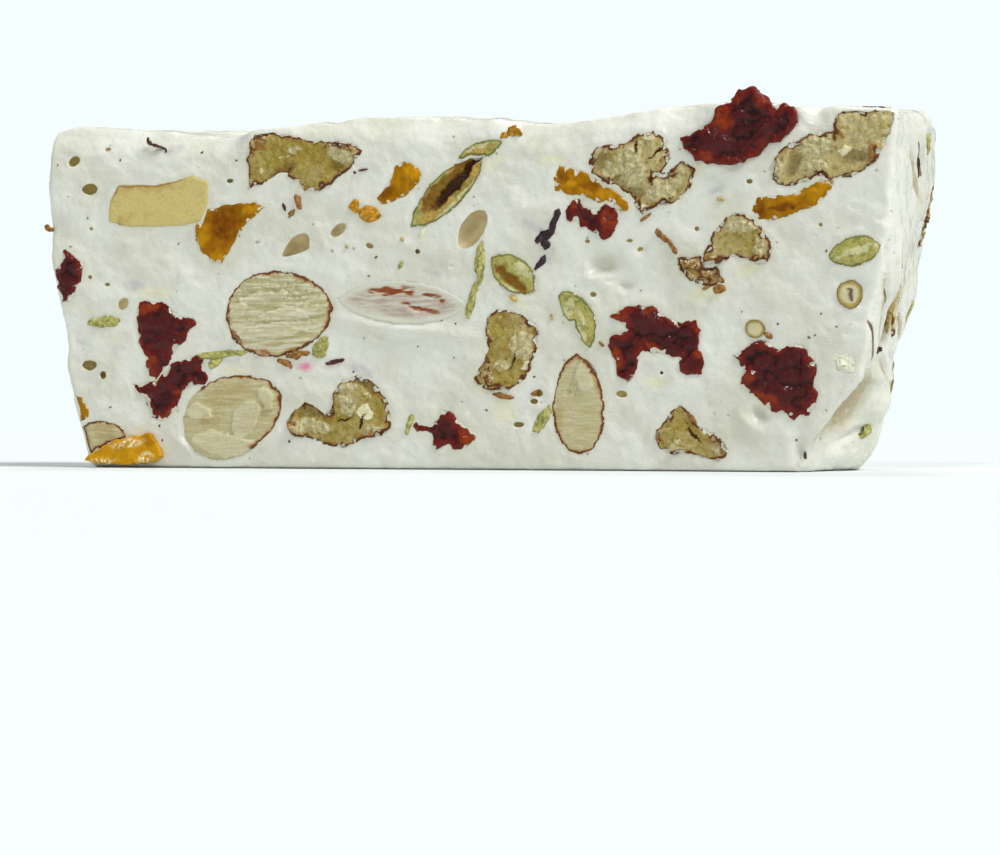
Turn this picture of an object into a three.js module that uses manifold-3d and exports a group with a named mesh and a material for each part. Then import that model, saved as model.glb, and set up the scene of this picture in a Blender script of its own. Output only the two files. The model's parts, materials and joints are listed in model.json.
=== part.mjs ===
// A bar of soft white nougat, cut with a knife through nuts, dried fruit and pumpkin seeds.
// Millimetres, +Z up. X runs along the bar, the cut front faces -Y, and the flat base lies on Z = 0.

import * as THREE from 'three';
import { mergeVertices } from 'three/addons/utils/BufferGeometryUtils.js';
import Module from 'manifold-3d';

const wasm = await Module();
wasm.setup();

// Driving dimensions of the bar
const DEPTH = 34;               // from the cut front to the cut back
const HEIGHT = 50.8;            // mean height of the poured top
const EDGE_RADIUS = 1.8;        // soft rounding where the knife left the nougat
const TOP_WAVE = 0.8;           // height of the slow waves along the top
const WAVE_LENGTH = 50.5;       // from crest to crest
const WAVE_CREST_X = 7;         // one crest of the waves
const TOP_FALL = 0.012;         // the top sinks by this much per millimetre towards +X
const END_STATIONS = 66;        // X of the ends before they are shaped

// Half lengths of the two ends at heights above the base, [height, distance from the middle]
const RIGHT_END = [
  [0, 52.2], [3, 53.5], [6, 56.2], [9, 58.2], [13, 61], [20, 62.2], [27, 63.7], [35, 64.8], [45, 65.6], [52, 66],
];
const LEFT_END = [[0, 57.5], [10, 60.6], [19, 61.6], [31, 64.6], [42, 65], [52, 64.8]];
const END_CROWN = 1;            // how far the middle of an end bulges beyond its edges

// Lumps of nougat-coated nuts on the ends: [y, z, half width, half height, rise]
const RIGHT_LUMPS = [
  [1, 2.5, 10, 4.6, 5],
  [1, 9.5, 4.5, 3, 1.4],
  [-12, 9.5, 3.5, 4.5, -3.2],
  [-12, 27, 3, 9, 0.6],
  [4, 40, 6, 7, 1],
  [13, 16, 9, 6, -2.4],
  [13, 31, 12, 9, -1.2],
];
const LEFT_LUMPS = [
  [4, 38, 6, 6, 1.3],
  [-7, 20, 4, 7, 0.9],
  [8, 14, 5, 7, 1.5],
];

// How the pieces sit in the nougat
const FIT_GAP = 0.3;            // clear of the nougat all round
const INNER_SCALE = 0.8;        // pieces narrow towards their hidden side
const CUT_OVERSHOOT = 3;        // pieces start this far outside and are trimmed to the surface
const BIT_RISE = 0.35;          // small bits stand this far out of the nougat
const BUBBLE_DEPTH = 0.6;       // a bubble hole is this many times as deep as it is wide
const SMALLEST_STEP = 0.03;     // detail finer than this is left out of the solids

// How finely the solids are faceted
const BAR_CELLS = { x: 24, y: 8, z: 12 };
const EGG_POINTS = 12;
const LENS_POINTS = 10;
const BIT_SIDES = 8;
const BUBBLE_SIDES = 10;
const ELLIPSOID_RINGS = 4;

// Colours and finish of each kind, with the depth it reaches into the bar and its outline steps
const KINDS = {
  nougat: { colour: '#f0efe4', roughness: 0.55 },
  almond: { colour: '#cdc39f', roughness: 0.7, depth: 7, steps: 16 },
  pecan: { colour: '#a8965a', roughness: 0.7, depth: 6, steps: 22 },
  cashew: { colour: '#dcc491', roughness: 0.65, depth: 6, steps: 14 },
  cranberry: { colour: '#581519', roughness: 0.3, depth: 6, steps: 24 },
  apricot: { colour: '#b5740f', roughness: 0.3, depth: 4, steps: 15 },
  seed: { colour: '#8f8c45', roughness: 0.55, depth: 2.5, steps: 14 },
};

// A closed smooth line through a few points.
function smoothOutline(points) {
  const through = points.map(([x, y]) => new THREE.Vector3(x, y, 0));
  return new THREE.CatmullRomCurve3(through, true, 'catmullrom', 0.5);
}

// An egg shape, as an almond cut across: the taper makes one end narrower.
function egg(length, width, turn, taper = 0.15) {
  const points = [];
  for (let step = 0; step < EGG_POINTS; step += 1) {
    const angle = (step / EGG_POINTS) * 2 * Math.PI;
    const narrowing = 1 - taper * Math.cos(angle);
    points.push([(length / 2) * Math.cos(angle), (width / 2) * Math.sin(angle) * narrowing]);
  }
  return turned(points, turn);
}

// A pumpkin seed: two arcs that meet in points, bent by a sag in the middle.
function lens(length, width, turn, sag = 0) {
  const points = [];
  for (let step = 0; step < LENS_POINTS; step += 1) {
    const angle = (step / LENS_POINTS) * 2 * Math.PI;
    const along = Math.cos(angle);
    const across = Math.sin(angle) * Math.sqrt(Math.abs(Math.sin(angle)));
    points.push([(length / 2) * along, (width / 2) * across + sag * (1 - along * along)]);
  }
  return turned(points, turn);
}

function turned(points, degrees) {
  const angle = THREE.MathUtils.degToRad(degrees);
  const cos = Math.cos(angle);
  const sin = Math.sin(angle);
  return points.map(([x, y]) => [x * cos - y * sin, x * sin + y * cos]);
}

// The outlines of the irregular pieces, each about its own middle.
const OUTLINES = {
  pecan_a: [[-8.5, 3.5], [-7.5, 5.5], [-2.5, 4.5], [2, 3.2], [7, 2.7], [9.5, 2.5], [9, 0], [6, -2.6],
    [0.5, -4.6], [-1.6, -1.4], [-5, -2], [-8, -3.6], [-9, 0]],
  pecan_b: [[-8, 2.5], [-6, 4.8], [-3, 4.8], [1, 6.5], [4, 4.5], [4.2, 1.8], [1.5, 0], [4, 0.6], [6.5, 2],
    [8, 0], [6, -3.3], [2.2, -4], [0.5, -5.5], [-2, -2.4], [-6, 0]],
  pecan_c: [[-9, -3.5], [-7, -1], [-3, 1.2], [0.4, 1], [0, 2.8], [2, 4.8], [6, 5.8], [9, 4], [8, 1],
    [6, -2.8], [2, -5.4], [-2, -5], [-6, -6.2], [-9, -5]],
  pecan_d: [[-4, 0], [-2.5, 2.7], [0.5, 3.8], [3.5, 1], [4.7, -2], [3, -3.6], [0, -2.5], [-5, -3.5]],
  pecan_e: [[-2.7, 5.2], [0.5, 5.7], [4.2, 4.3], [5, 1.5], [3.6, -2.6], [2, -4.8], [-2.5, -5.7], [-4.6, -4],
    [-3, 0]],
  pecan_g: [[-0.8, 3.6], [1.5, 5.6], [5, 5.2], [8, 1.5], [8, -2.5], [4.5, -3.3], [-0.5, -5], [-4, -3.6],
    [-8, -2.8], [-7.5, 0.5], [-4.5, 2], [-1.4, 0]],
  pecan_h: [[-3, 2.5], [-1, 4], [1, 1.2], [3.6, 0], [5.5, -2.2], [4, -4], [0, -3], [-4, -2.5], [-5, 0]],
  cranberry_a: [[-4, 1.5], [-2.4, 2.5], [0, 0.4], [2, 1.6], [3.7, 0], [2.4, -3.4], [-1, -1.6], [-3.8, -0.4]],
  cranberry_b: [[-8.2, -2], [-4, -0.2], [-3, 2.5], [-0.8, 2.8], [1, 4.7], [4, 3.5], [5, 1.2], [6.5, 2.6],
    [8.6, 0], [6.5, -2.6], [4, -3], [1, -5.4], [-4, -5.6], [-7.5, -3.6]],
  cranberry_c: [[-6.6, 4.2], [-3, 4.8], [-0.6, 6], [2, 3.2], [5, 2.6], [6.8, 3.2], [6.2, -0.5], [7.2, -3],
    [5.5, -5.2], [2.4, -1.2], [0.4, -2.6], [-2.2, -1], [-3, -5], [-5.2, -5.8], [-6, -1.6], [-7, 0.6],
    [-3.2, 1.6]],
  cranberry_d: [[-5.7, 3], [-1.5, 5.2], [0.4, 3.8], [3.6, 4.2], [5.8, 1.8], [5.4, -1], [6, -2.8], [4, -5.7],
    [0, -4.6], [-4.6, -1.2], [-4, 1.5]],
  cranberry_e: [[-5, 6], [-1, 6], [2.2, 3.6], [4.7, 3], [2, 0], [-2, -5.8], [-4.6, -1.5], [-5.4, 2]],
  cranberry_f: [[-6.2, 0.6], [-1.8, 1.4], [0.5, 3.6], [5.5, 4.7], [6.6, 1], [3, 0], [1.2, -3.6], [-2.6, -4.6],
    [-4.4, -1.4]],
  cranberry_g: [[-3.6, 4.4], [-2, 3.2], [-1.2, 1.4], [0.5, 4.6], [3.5, 1.4], [1.8, -1.2], [1.2, -3.8],
    [-4, -3.8]],
  cranberry_h: [[-5.2, 1], [-2, 0.8], [-1, 3.2], [2, 1.2], [4.7, -1.4], [2.4, -3.2], [0, -2.4], [-2, -3.2],
    [-2.6, -0.9], [-4.6, -1]],
  apricot_a: [[-4.4, 3.3], [0.5, 4.5], [6.2, 4.2], [2.2, 0.6], [-0.6, -4], [-2, -4.8], [-5.5, -0.8]],
  apricot_b: [[-1, 2], [1, 2.7], [3.2, 0.5], [1, -2], [-3, -3.6], [-4.2, -2.6], [-2, 0]],
  apricot_d: [[-5, 3.2], [-3, 2.6], [1, 0.9], [5.7, -3], [3.5, -3.7], [-1, -1.4], [-5.8, -0.6]],
  apricot_e: [[-2.5, 2.6], [0.4, 2.2], [1.2, -0.6], [-0.6, -1.8], [-2.6, -1.6]],
  apricot_f: [[-6.6, -0.9], [-3, 1.2], [3, 2.8], [4.8, 2.4], [6, -1], [2, -1.5], [-4, -1.6]],
  orange_peel: [[-5.6, 0.6], [-1, 0.8], [2.5, 2.6], [5.6, 2.2], [1.4, -1.4], [-5.5, -2.5]],
  cashew: [[-6.6, 3], [1, 2.8], [8, 4.1], [8.5, -1.4], [5.6, -3.4], [-6.4, -3.3], [-8.6, -1.4], [-7.6, 1.5]],
};

// Every piece that shows on the cut front: name, kind, middle [x, z] and outline.
const FRONT_PIECES = [
  ['almond_a', 'almond', [-25.6, 23], egg(17.8, 13, 4)],
  ['almond_b', 'almond', [-33.2, 7.9], egg(17.4, 12.2, 22)],
  ['almond_c', 'almond', [20.9, 9.4], egg(14.4, 7.8, 92)],
  ['almond_d', 'almond', [-6, 24.2], lens(21, 6.6, -4)],
  ['almond_e', 'almond', [-55.6, 4.6], egg(9, 5.2, 4)],
  ['pecan_a', 'pecan', [-22, 45], OUTLINES.pecan_a],
  ['pecan_b', 'pecan', [30, 41], OUTLINES.pecan_b],
  ['pecan_c', 'pecan', [57, 45], OUTLINES.pecan_c],
  ['pecan_d', 'pecan', [44, 32], OUTLINES.pecan_d],
  ['pecan_e', 'pecan', [10, 17], OUTLINES.pecan_e],
  ['pecan_f', 'pecan', [38.6, 27.6], lens(7.4, 3.8, -28)],
  ['pecan_g', 'pecan', [-16, 8], OUTLINES.pecan_g],
  ['pecan_h', 'pecan', [37, 5.3], OUTLINES.pecan_h],
  ['cashew_a', 'cashew', [-46, 40], OUTLINES.cashew],
  ['cranberry_a', 'cranberry', [23, 36], OUTLINES.cranberry_a],
  ['cranberry_c', 'cranberry', [32, 18], OUTLINES.cranberry_c],
  ['cranberry_d', 'cranberry', [49, 13], OUTLINES.cranberry_d],
  ['cranberry_e', 'cranberry', [-44, 19], OUTLINES.cranberry_e],
  ['cranberry_f', 'cranberry', [-44, 12], OUTLINES.cranberry_f],
  ['cranberry_g', 'cranberry', [-62, 29], OUTLINES.cranberry_g],
  ['cranberry_h', 'cranberry', [1, 6], OUTLINES.cranberry_h],
  ['apricot_a', 'apricot', [-34, 35], OUTLINES.apricot_a],
  ['apricot_b', 'apricot', [-6, 42], OUTLINES.apricot_b],
  ['apricot_d', 'apricot', [23, 40], OUTLINES.apricot_d],
  ['apricot_e', 'apricot', [-59, 8.4], OUTLINES.apricot_e],
  ['orange_peel', 'apricot', [52, 37], OUTLINES.orange_peel],
  ['seed_a', 'seed', [1, 40], lens(15.2, 5.2, 41)],
  ['seed_b', 'seed', [6.2, 45.8], lens(7.2, 2.6, 16)],
  ['seed_c', 'seed', [60.1, 29.9], lens(7.6, 4.2, 12)],
  ['seed_e', 'seed', [20.4, 21.4], lens(9.4, 4.2, -60, 0.8)],
  ['seed_f', 'seed', [11.2, 27.9], lens(8.4, 5, -36)],
];

// The cut back, seen from behind, holds the same kinds; the middles are still [x, z] of the bar.
const BACK_PIECES = [
  ['almond_back_a', 'almond', [-47, 38], egg(17, 12.6, 70)],
  ['almond_back_b', 'almond', [-13, 25], egg(16.6, 12, -20)],
  ['almond_back_c', 'almond', [47, 22], egg(17.6, 12.4, 15)],
  ['almond_back_d', 'almond', [-41, 8], egg(16, 11.4, -10)],
  ['pecan_back_a', 'pecan', [-25, 42], turned(OUTLINES.pecan_a, 175)],
  ['pecan_back_b', 'pecan', [39, 40], turned(OUTLINES.pecan_b, 200)],
  ['pecan_back_c', 'pecan', [-51, 20], turned(OUTLINES.pecan_e, 95)],
  ['pecan_back_d', 'pecan', [24, 24], turned(OUTLINES.pecan_g, -60)],
  ['pecan_back_e', 'pecan', [9, 7], turned(OUTLINES.pecan_d, 150)],
  ['cashew_back', 'cashew', [30, 9], turned(OUTLINES.cashew, 172)],
  ['cashew_back_b', 'cashew', [17, 42], turned(OUTLINES.cashew, 14)],
  ['cranberry_back_a', 'cranberry', [-4, 43], turned(OUTLINES.cranberry_c, 80)],
  ['cranberry_back_b', 'cranberry', [58, 36], turned(OUTLINES.cranberry_d, 40)],
  ['cranberry_back_c', 'cranberry', [-30, 22], turned(OUTLINES.cranberry_e, 190)],
  ['cranberry_back_d', 'cranberry', [-16, 9], turned(OUTLINES.cranberry_b, 165)],
  ['apricot_back_a', 'apricot', [4, 27], turned(OUTLINES.apricot_a, 110)],
  ['apricot_back_b', 'apricot', [48, 7], turned(OUTLINES.apricot_d, 20)],
  ['seed_back_a', 'seed', [-38, 30], lens(13, 5, 25)],
  ['seed_back_b', 'seed', [0, 14], lens(9, 4.4, -50)],
];

// The ends and the top show fewer: [y, z] on an end, [x, y] on the top.
const RIGHT_PIECES = [
  ['almond_right', 'almond', [-7.5, 24.5], lens(14, 4.2, 116)],
  ['pecan_right', 'pecan', [8, 37], turned(OUTLINES.pecan_h, 80)],
  ['seed_right', 'seed', [3, 12], lens(9, 4, 60)],
];
const LEFT_PIECES = [
  ['almond_left', 'almond', [-2, 36], egg(15, 10, 60)],
  ['pecan_left', 'pecan', [5, 15], turned(OUTLINES.pecan_e, 20)],
];
const TOP_PIECES = [
  ['almond_top', 'almond', [-33, 5], egg(16, 10, 12)],
  ['cranberry_top', 'cranberry', [16, 4], turned(OUTLINES.cranberry_d, 110)],
];

// Pieces that stand out of the nougat: name, kind, middle [x, z], outline, rise, depth.
const RAISED_PIECES = [
  ['cranberry_b', 'cranberry', [44, 48], OUTLINES.cranberry_b, 0.5, 7],
  ['apricot_f', 'apricot', [-51, 2.2], OUTLINES.apricot_f, 1.2, 5],
];

// Bits too small to be pieces of their own: middle, length, width and turn in degrees.
const FRONT_BITS = [
  [16, 34, 6.4, 2.4, 55],
  [15.2, 29.2, 3, 1.4, 50],
  [-11.2, 36.8, 4.2, 2.6, 0],
  [11, 48, 3.6, 2, -8],
  [59.3, 24, 4.2, 3.6, 90],
  [46.6, 19.4, 3.6, 2.8, 0],
  [6, 30, 6.8, 1.5, 75],
  [4.7, 24.3, 5, 1.5, 68],
  [-55, 21.9, 5.6, 1.5, 0],
  [-35.5, 16.7, 9.4, 1.3, 8],
  [-18.8, 17.8, 4.6, 2.2, 38],
  [15.4, 7, 4.4, 1.4, 62],
  [33.4, 32.2, 4.8, 1.5, -45],
  [-4.6, 6.4, 3.2, 1, 72],
  [-24.8, 15.6, 2.8, 1.2, -25],
  [58.2, 14.9, 4, 2.6, -30],
];
const BACK_BITS = [
  [-58, 44, 4.6, 1.6, 30],
  [-36, 44, 3.6, 2, -20],
  [-14, 36, 5.4, 1.5, 60],
  [29, 33, 5, 1.6, -35],
  [52, 46, 4.4, 2.2, 10],
  [9, 36, 4, 2.6, 45],
  [-40, 17, 5.2, 1.4, -60],
  [-56, 6, 4.4, 2, 20],
  [36, 17, 5.4, 1.5, 75],
  [13, 16, 4, 2.8, 0],
  [-27, 4.5, 5, 1.6, -8],
  [60, 24, 3.6, 2, 50],
  [57, 12, 5.4, 2.2, 70],
];
const RIGHT_BITS = [
  [-4, 42.5, 4.6, 1.4, 85],
  [11, 22, 4, 2.2, 30],
  [8, 4.6, 3, 2, 60],
  [-1, 46, 3.6, 1.8, -40],
];
const LEFT_BITS = [
  [9, 27, 4.4, 1.8, -60],
  [-9, 12, 3.8, 2, 20],
  [8, 43, 4.6, 1.6, 10],
];
const TOP_BITS = [
  [-8, -6, 5, 1.8, 25],
  [-52, -7, 4.4, 2, -15],
  [36, -3, 5.2, 1.8, 70],
  [54, 8, 4.2, 2.2, -30],
];

// Holes left by air bubbles: middle, length, width and turn in degrees.
const FRONT_BUBBLES = [
  [5, 34.5, 6.8, 3.6, 50],
  [-22.6, 32.8, 5.4, 3, 38],
  [-16, 35, 2.9, 1.6, 38],
  [-57.5, 42.5, 2.6, 2, 0],
  [-60.5, 47, 1.9, 1.6, 0],
  [-57.5, 15.5, 2.5, 1.6, 0],
  [-52.5, 25, 2.6, 1.8, 30],
];
const BACK_BUBBLES = [
  [-8, 33, 4.6, 3.2, 20],
  [53, 29, 3, 2.2, -30],
  [-58, 30, 2.8, 2, 60],
  [36, 30.5, 2.4, 1.8, 0],
  [18, 32, 5.8, 3, 40],
];

// Where each side's drawing lies on the bar: its X axis, Y axis and outward normal, and its surface.
const SIDES = {
  front: { right: [1, 0, 0], up: [0, 0, 1], out: [0, -1, 0], surface: ([x, z]) => [x, -DEPTH / 2, z] },
  back: { right: [-1, 0, 0], up: [0, 0, 1], out: [0, 1, 0], surface: ([x, z]) => [x, DEPTH / 2, z] },
  right: {
    right: [0, 1, 0],
    up: [0, 0, 1],
    out: [1, 0, 0],
    surface: ([y, z]) => [endReach(RIGHT_END, RIGHT_LUMPS, y, z), y, z],
  },
  left: {
    right: [0, -1, 0],
    up: [0, 0, 1],
    out: [-1, 0, 0],
    surface: ([y, z]) => [-endReach(LEFT_END, LEFT_LUMPS, y, z), y, z],
  },
  top: { right: [1, 0, 0], up: [0, 1, 0], out: [0, 0, 1], surface: ([x, y]) => [x, y, topHeight(x, y)] },
};

function sidePlacement(side, middle) {
  const { right, up, out, surface } = SIDES[side];
  const axes = [right, up, out].map((axis) => new THREE.Vector3(...axis));
  return new THREE.Matrix4().makeBasis(...axes).setPosition(...surface(middle));
}

// three.js geometry to a solid and back
function toSolid(geometry) {
  geometry.deleteAttribute('normal');
  geometry.deleteAttribute('uv');
  const merged = mergeVertices(geometry);
  return new wasm.Manifold(new wasm.Mesh({
    numProp: 3,
    vertProperties: new Float32Array(merged.attributes.position.array),
    triVerts: new Uint32Array(merged.index.array),
  }));
}

function toGeometry(solid) {
  const { vertProperties, triVerts } = solid.getMesh();
  const geometry = new THREE.BufferGeometry();
  geometry.setAttribute('position', new THREE.BufferAttribute(vertProperties, 3));
  geometry.setIndex(new THREE.BufferAttribute(triVerts, 1));
  geometry.computeVertexNormals();
  return geometry;
}

function largestPart(solid) {
  const parts = solid.decompose();
  return parts.reduce((best, part) => (part.volume() > best.volume() ? part : best));
}

// The bar without its pieces
function profileAt(profile, height) {
  const above = profile.findIndex(([station]) => station >= height);
  if (above <= 0) {
    return profile[above === 0 ? 0 : profile.length - 1][1];
  }
  const [lowHeight, lowReach] = profile[above - 1];
  const [highHeight, highReach] = profile[above];
  return THREE.MathUtils.mapLinear(height, lowHeight, highHeight, lowReach, highReach);
}

function endReach(profile, lumps, y, z) {
  const across = (2 * y) / DEPTH;
  let reach = profileAt(profile, z) + END_CROWN * (1 - across * across);
  for (const [lumpY, lumpZ, halfWidth, halfHeight, rise] of lumps) {
    const distance = ((y - lumpY) / halfWidth) ** 2 + ((z - lumpZ) / halfHeight) ** 2;
    reach += rise * Math.exp(-distance);
  }
  return reach;
}

function topHeight(x, y) {
  const wave = TOP_WAVE * Math.cos((2 * Math.PI * (x - WAVE_CREST_X - y)) / WAVE_LENGTH);
  return HEIGHT + wave - TOP_FALL * x;
}

// Grid lines are evenly spaced, with the first and last one rounding radius from the edge.
function stationAt(parameter, count, half) {
  const line = Math.round(((parameter + 1) / 2) * count);
  if (line === 0 || line === count) {
    return Math.sign(parameter) * half;
  }
  return THREE.MathUtils.mapLinear(line, 1, count - 1, EDGE_RADIUS - half, half - EDGE_RADIUS);
}

function barGeometry() {
  const half = { x: END_STATIONS, y: DEPTH / 2, z: HEIGHT / 2 };
  const geometry = new THREE.BoxGeometry(2, 2, 2, BAR_CELLS.x, BAR_CELLS.y, BAR_CELLS.z);
  const positions = geometry.attributes.position;
  const corner = new THREE.Vector3(half.x, half.y, half.z).subScalar(EDGE_RADIUS);
  for (let index = 0; index < positions.count; index += 1) {
    const point = new THREE.Vector3(
      stationAt(positions.getX(index), BAR_CELLS.x, half.x),
      stationAt(positions.getY(index), BAR_CELLS.y, half.y),
      stationAt(positions.getZ(index), BAR_CELLS.z, half.z),
    );
    const inner = point.clone().clamp(corner.clone().negate(), corner);
    point.sub(inner).setLength(EDGE_RADIUS).add(inner);
    const along = point.x / half.x;
    const height = point.z + half.z;
    const profile = along > 0 ? RIGHT_END : LEFT_END;
    const lumps = along > 0 ? RIGHT_LUMPS : LEFT_LUMPS;
    const x = along * endReach(profile, lumps, point.y, height);
    positions.setXYZ(index, x, point.y, (height * topHeight(x, point.y)) / HEIGHT);
  }
  return geometry;
}

// The outline as evenly spaced points, moved outwards by grow
function grownOutline(outline, steps, grow) {
  const line = smoothOutline(outline).getSpacedPoints(steps).slice(0, steps);
  const turnSign = Math.sign(THREE.ShapeUtils.area(line));
  return line.map((point, index) => {
    const before = line[(index + steps - 1) % steps];
    const after = line[(index + 1) % steps];
    const outward = new THREE.Vector2(after.y - before.y, before.x - after.x).normalize();
    return new THREE.Vector2(point.x, point.y).addScaledVector(outward, grow * turnSign);
  });
}

// A plug with the given outline, from rise above the surface down into the bar
function plugSolid(side, middle, outline, steps, rise, depth, grow) {
  const points = grownOutline(outline, steps, grow);
  const centre = new THREE.Vector2();
  points.forEach((point) => centre.add(point));
  centre.divideScalar(steps);
  const geometry = new THREE.ExtrudeGeometry(new THREE.Shape(points), {
    depth: depth + rise + grow,
    steps: 1,
    bevelEnabled: false,
  });
  const positions = geometry.attributes.position;
  for (let index = 0; index < positions.count; index += 1) {
    const height = positions.getZ(index) - depth - grow;
    const scale = 1 + ((1 - INNER_SCALE) * height) / depth;
    const x = centre.x + (positions.getX(index) - centre.x) * scale;
    const y = centre.y + (positions.getY(index) - centre.y) * scale;
    positions.setXYZ(index, x, y, height);
  }
  geometry.applyMatrix4(sidePlacement(side, middle));
  return toSolid(geometry);
}

// An ellipsoid half sunk in a side: a bit where it is added, a bubble hole where it is cut out
function ellipsoid(side, [across, up, length, width, turn], rise, segments) {
  const geometry = new THREE.SphereGeometry(1, segments, ELLIPSOID_RINGS);
  geometry.rotateX(Math.PI / 2);
  geometry.scale(length / 2, width / 2, rise);
  geometry.rotateZ(THREE.MathUtils.degToRad(turn));
  geometry.applyMatrix4(sidePlacement(side, [across, up]));
  return toSolid(geometry);
}

const bar = toSolid(barGeometry());
const group = new THREE.Group();
const takenSpaces = [];

function addMesh(name, kind, solid) {
  const { colour, roughness } = KINDS[kind];
  const material = new THREE.MeshStandardMaterial({ color: colour, roughness, metalness: 0 });
  const mesh = new THREE.Mesh(toGeometry(solid), material);
  mesh.name = name;
  group.add(mesh);
}

// Cuts the piece clear of those already placed, and remembers the space that it needs in the nougat.
function place(name, kind, piece, pocket) {
  let clear = piece;
  for (const taken of takenSpaces) {
    clear = clear.subtract(taken);
  }
  takenSpaces.push(pocket);
  addMesh(name, kind, largestPart(clear).simplify(SMALLEST_STEP));
}

for (const [name, kind, middle, outline, rise, depth] of RAISED_PIECES) {
  const { steps } = KINDS[kind];
  const piece = plugSolid('front', middle, outline, steps, rise, depth, 0);
  const pocket = plugSolid('front', middle, outline, steps, rise + CUT_OVERSHOOT, depth, FIT_GAP);
  place(name, kind, piece, pocket);
}

const SIDE_PIECES = {
  front: FRONT_PIECES,
  back: BACK_PIECES,
  right: RIGHT_PIECES,
  left: LEFT_PIECES,
  top: TOP_PIECES,
};
for (const [side, pieces] of Object.entries(SIDE_PIECES)) {
  for (const [name, kind, middle, outline] of pieces) {
    const { steps, depth } = KINDS[kind];
    const plug = plugSolid(side, middle, outline, steps, CUT_OVERSHOOT, depth, 0);
    const pocket = plugSolid(side, middle, outline, steps, CUT_OVERSHOOT, depth, FIT_GAP);
    place(name, kind, plug.intersect(bar), pocket);
  }
}

const SIDE_BITS = { front: FRONT_BITS, back: BACK_BITS, right: RIGHT_BITS, left: LEFT_BITS, top: TOP_BITS };
const SIDE_BUBBLES = { front: FRONT_BUBBLES, back: BACK_BUBBLES };
let nougat = bar;
for (const [side, bits] of Object.entries(SIDE_BITS)) {
  for (const bit of bits) {
    nougat = nougat.add(ellipsoid(side, bit, BIT_RISE, BIT_SIDES));
  }
}
for (const [side, bubbles] of Object.entries(SIDE_BUBBLES)) {
  for (const bubble of bubbles) {
    const [, , , width] = bubble;
    nougat = nougat.subtract(ellipsoid(side, bubble, width * BUBBLE_DEPTH, BUBBLE_SIDES));
  }
}
for (const taken of takenSpaces) {
  nougat = nougat.subtract(taken);
}
addMesh('nougat', 'nougat', largestPart(nougat).simplify(SMALLEST_STEP));

// The middle of the bar's footprint is the origin.
const box = new THREE.Box3().setFromObject(group);
const middle = box.getCenter(new THREE.Vector3());
group.position.set(-middle.x, -middle.y, -box.min.z);

export default group;
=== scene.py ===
import json
import math
import random

import bmesh
import bpy
import numpy as np
from bpy.props import FloatProperty, FloatVectorProperty, IntProperty, PointerProperty
from mathutils import Matrix, Vector, noise
from mathutils.bvhtree import BVHTree


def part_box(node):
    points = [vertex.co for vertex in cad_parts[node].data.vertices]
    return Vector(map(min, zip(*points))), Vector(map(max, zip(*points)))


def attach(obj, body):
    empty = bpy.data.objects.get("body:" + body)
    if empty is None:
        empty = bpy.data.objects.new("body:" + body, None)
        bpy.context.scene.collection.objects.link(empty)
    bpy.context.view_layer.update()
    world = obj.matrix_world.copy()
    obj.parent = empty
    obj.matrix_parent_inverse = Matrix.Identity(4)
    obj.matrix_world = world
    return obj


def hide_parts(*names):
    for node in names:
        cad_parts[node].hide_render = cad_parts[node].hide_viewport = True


bl_info = {
    "name": "Nougat Bar",
    "version": (1, 0, 0),
    "blender": (4, 5, 0),
    "location": "View3D > Sidebar > Nougat",
    "description": "Builds a cut bar of white nougat with nuts, dried fruit and pumpkin seeds",
    "category": "Add Mesh",
}

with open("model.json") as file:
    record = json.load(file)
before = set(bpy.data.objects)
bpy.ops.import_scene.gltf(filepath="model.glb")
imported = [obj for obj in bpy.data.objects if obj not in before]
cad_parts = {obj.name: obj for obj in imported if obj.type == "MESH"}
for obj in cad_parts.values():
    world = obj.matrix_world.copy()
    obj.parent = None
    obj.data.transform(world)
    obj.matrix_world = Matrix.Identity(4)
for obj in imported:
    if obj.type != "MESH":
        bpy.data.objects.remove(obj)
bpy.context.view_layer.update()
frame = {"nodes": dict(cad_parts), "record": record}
MM = 0.001
# Without a seed the vector noise starts from the clock
noise.seed_set(7)

# The bar's form in millimetres, as its solid has it
DEPTH = 34.0
HEIGHT = 50.8
TOP_WAVE = 0.8
WAVE_LENGTH = 50.5
WAVE_CREST_X = 7.0
# How much the top falls with each millimetre to the right
TOP_FALL = 0.012
# Half the length of the plain block, and how much further the middle of each end reaches
BLOCK_REACH = 66.0
END_CROWN = 1.0
# Each end's profile: heights, and how far the end reaches at each of them
RIGHT_END = (
    (0, 3, 6, 9, 13, 20, 27, 35, 45, 52),
    (52.2, 53.5, 56.2, 58.2, 61, 62.2, 63.7, 64.8, 65.6, 66),
)
LEFT_END = ((0, 10, 19, 31, 42, 52), (57.5, 60.6, 61.6, 64.6, 65, 64.8))
# Lumps and hollows of each end: y, z, half width, half height and rise
RIGHT_LUMPS = (
    (1, 2.5, 10, 4.6, 5),
    (1, 9.5, 4.5, 3, 1.4),
    (-12, 9.5, 3.5, 4.5, -3.2),
    (-12, 27, 3, 9, 0.6),
    (4, 40, 6, 7, 1),
    (13, 16, 9, 6, -2.4),
    (13, 31, 12, 9, -1.2),
)
LEFT_LUMPS = ((4, 38, 6, 6, 1.3), (-7, 20, 4, 7, 0.9), (8, 14, 5, 7, 1.5))

# The cut faces in the frame, from two nuts that lie flush with them
FRONT_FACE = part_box("almond_a")[0].y / MM
BACK_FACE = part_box("almond_back_a")[1].y / MM
SHIFT = Vector((-0.11, (FRONT_FACE + BACK_FACE) / 2, 0))

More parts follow.
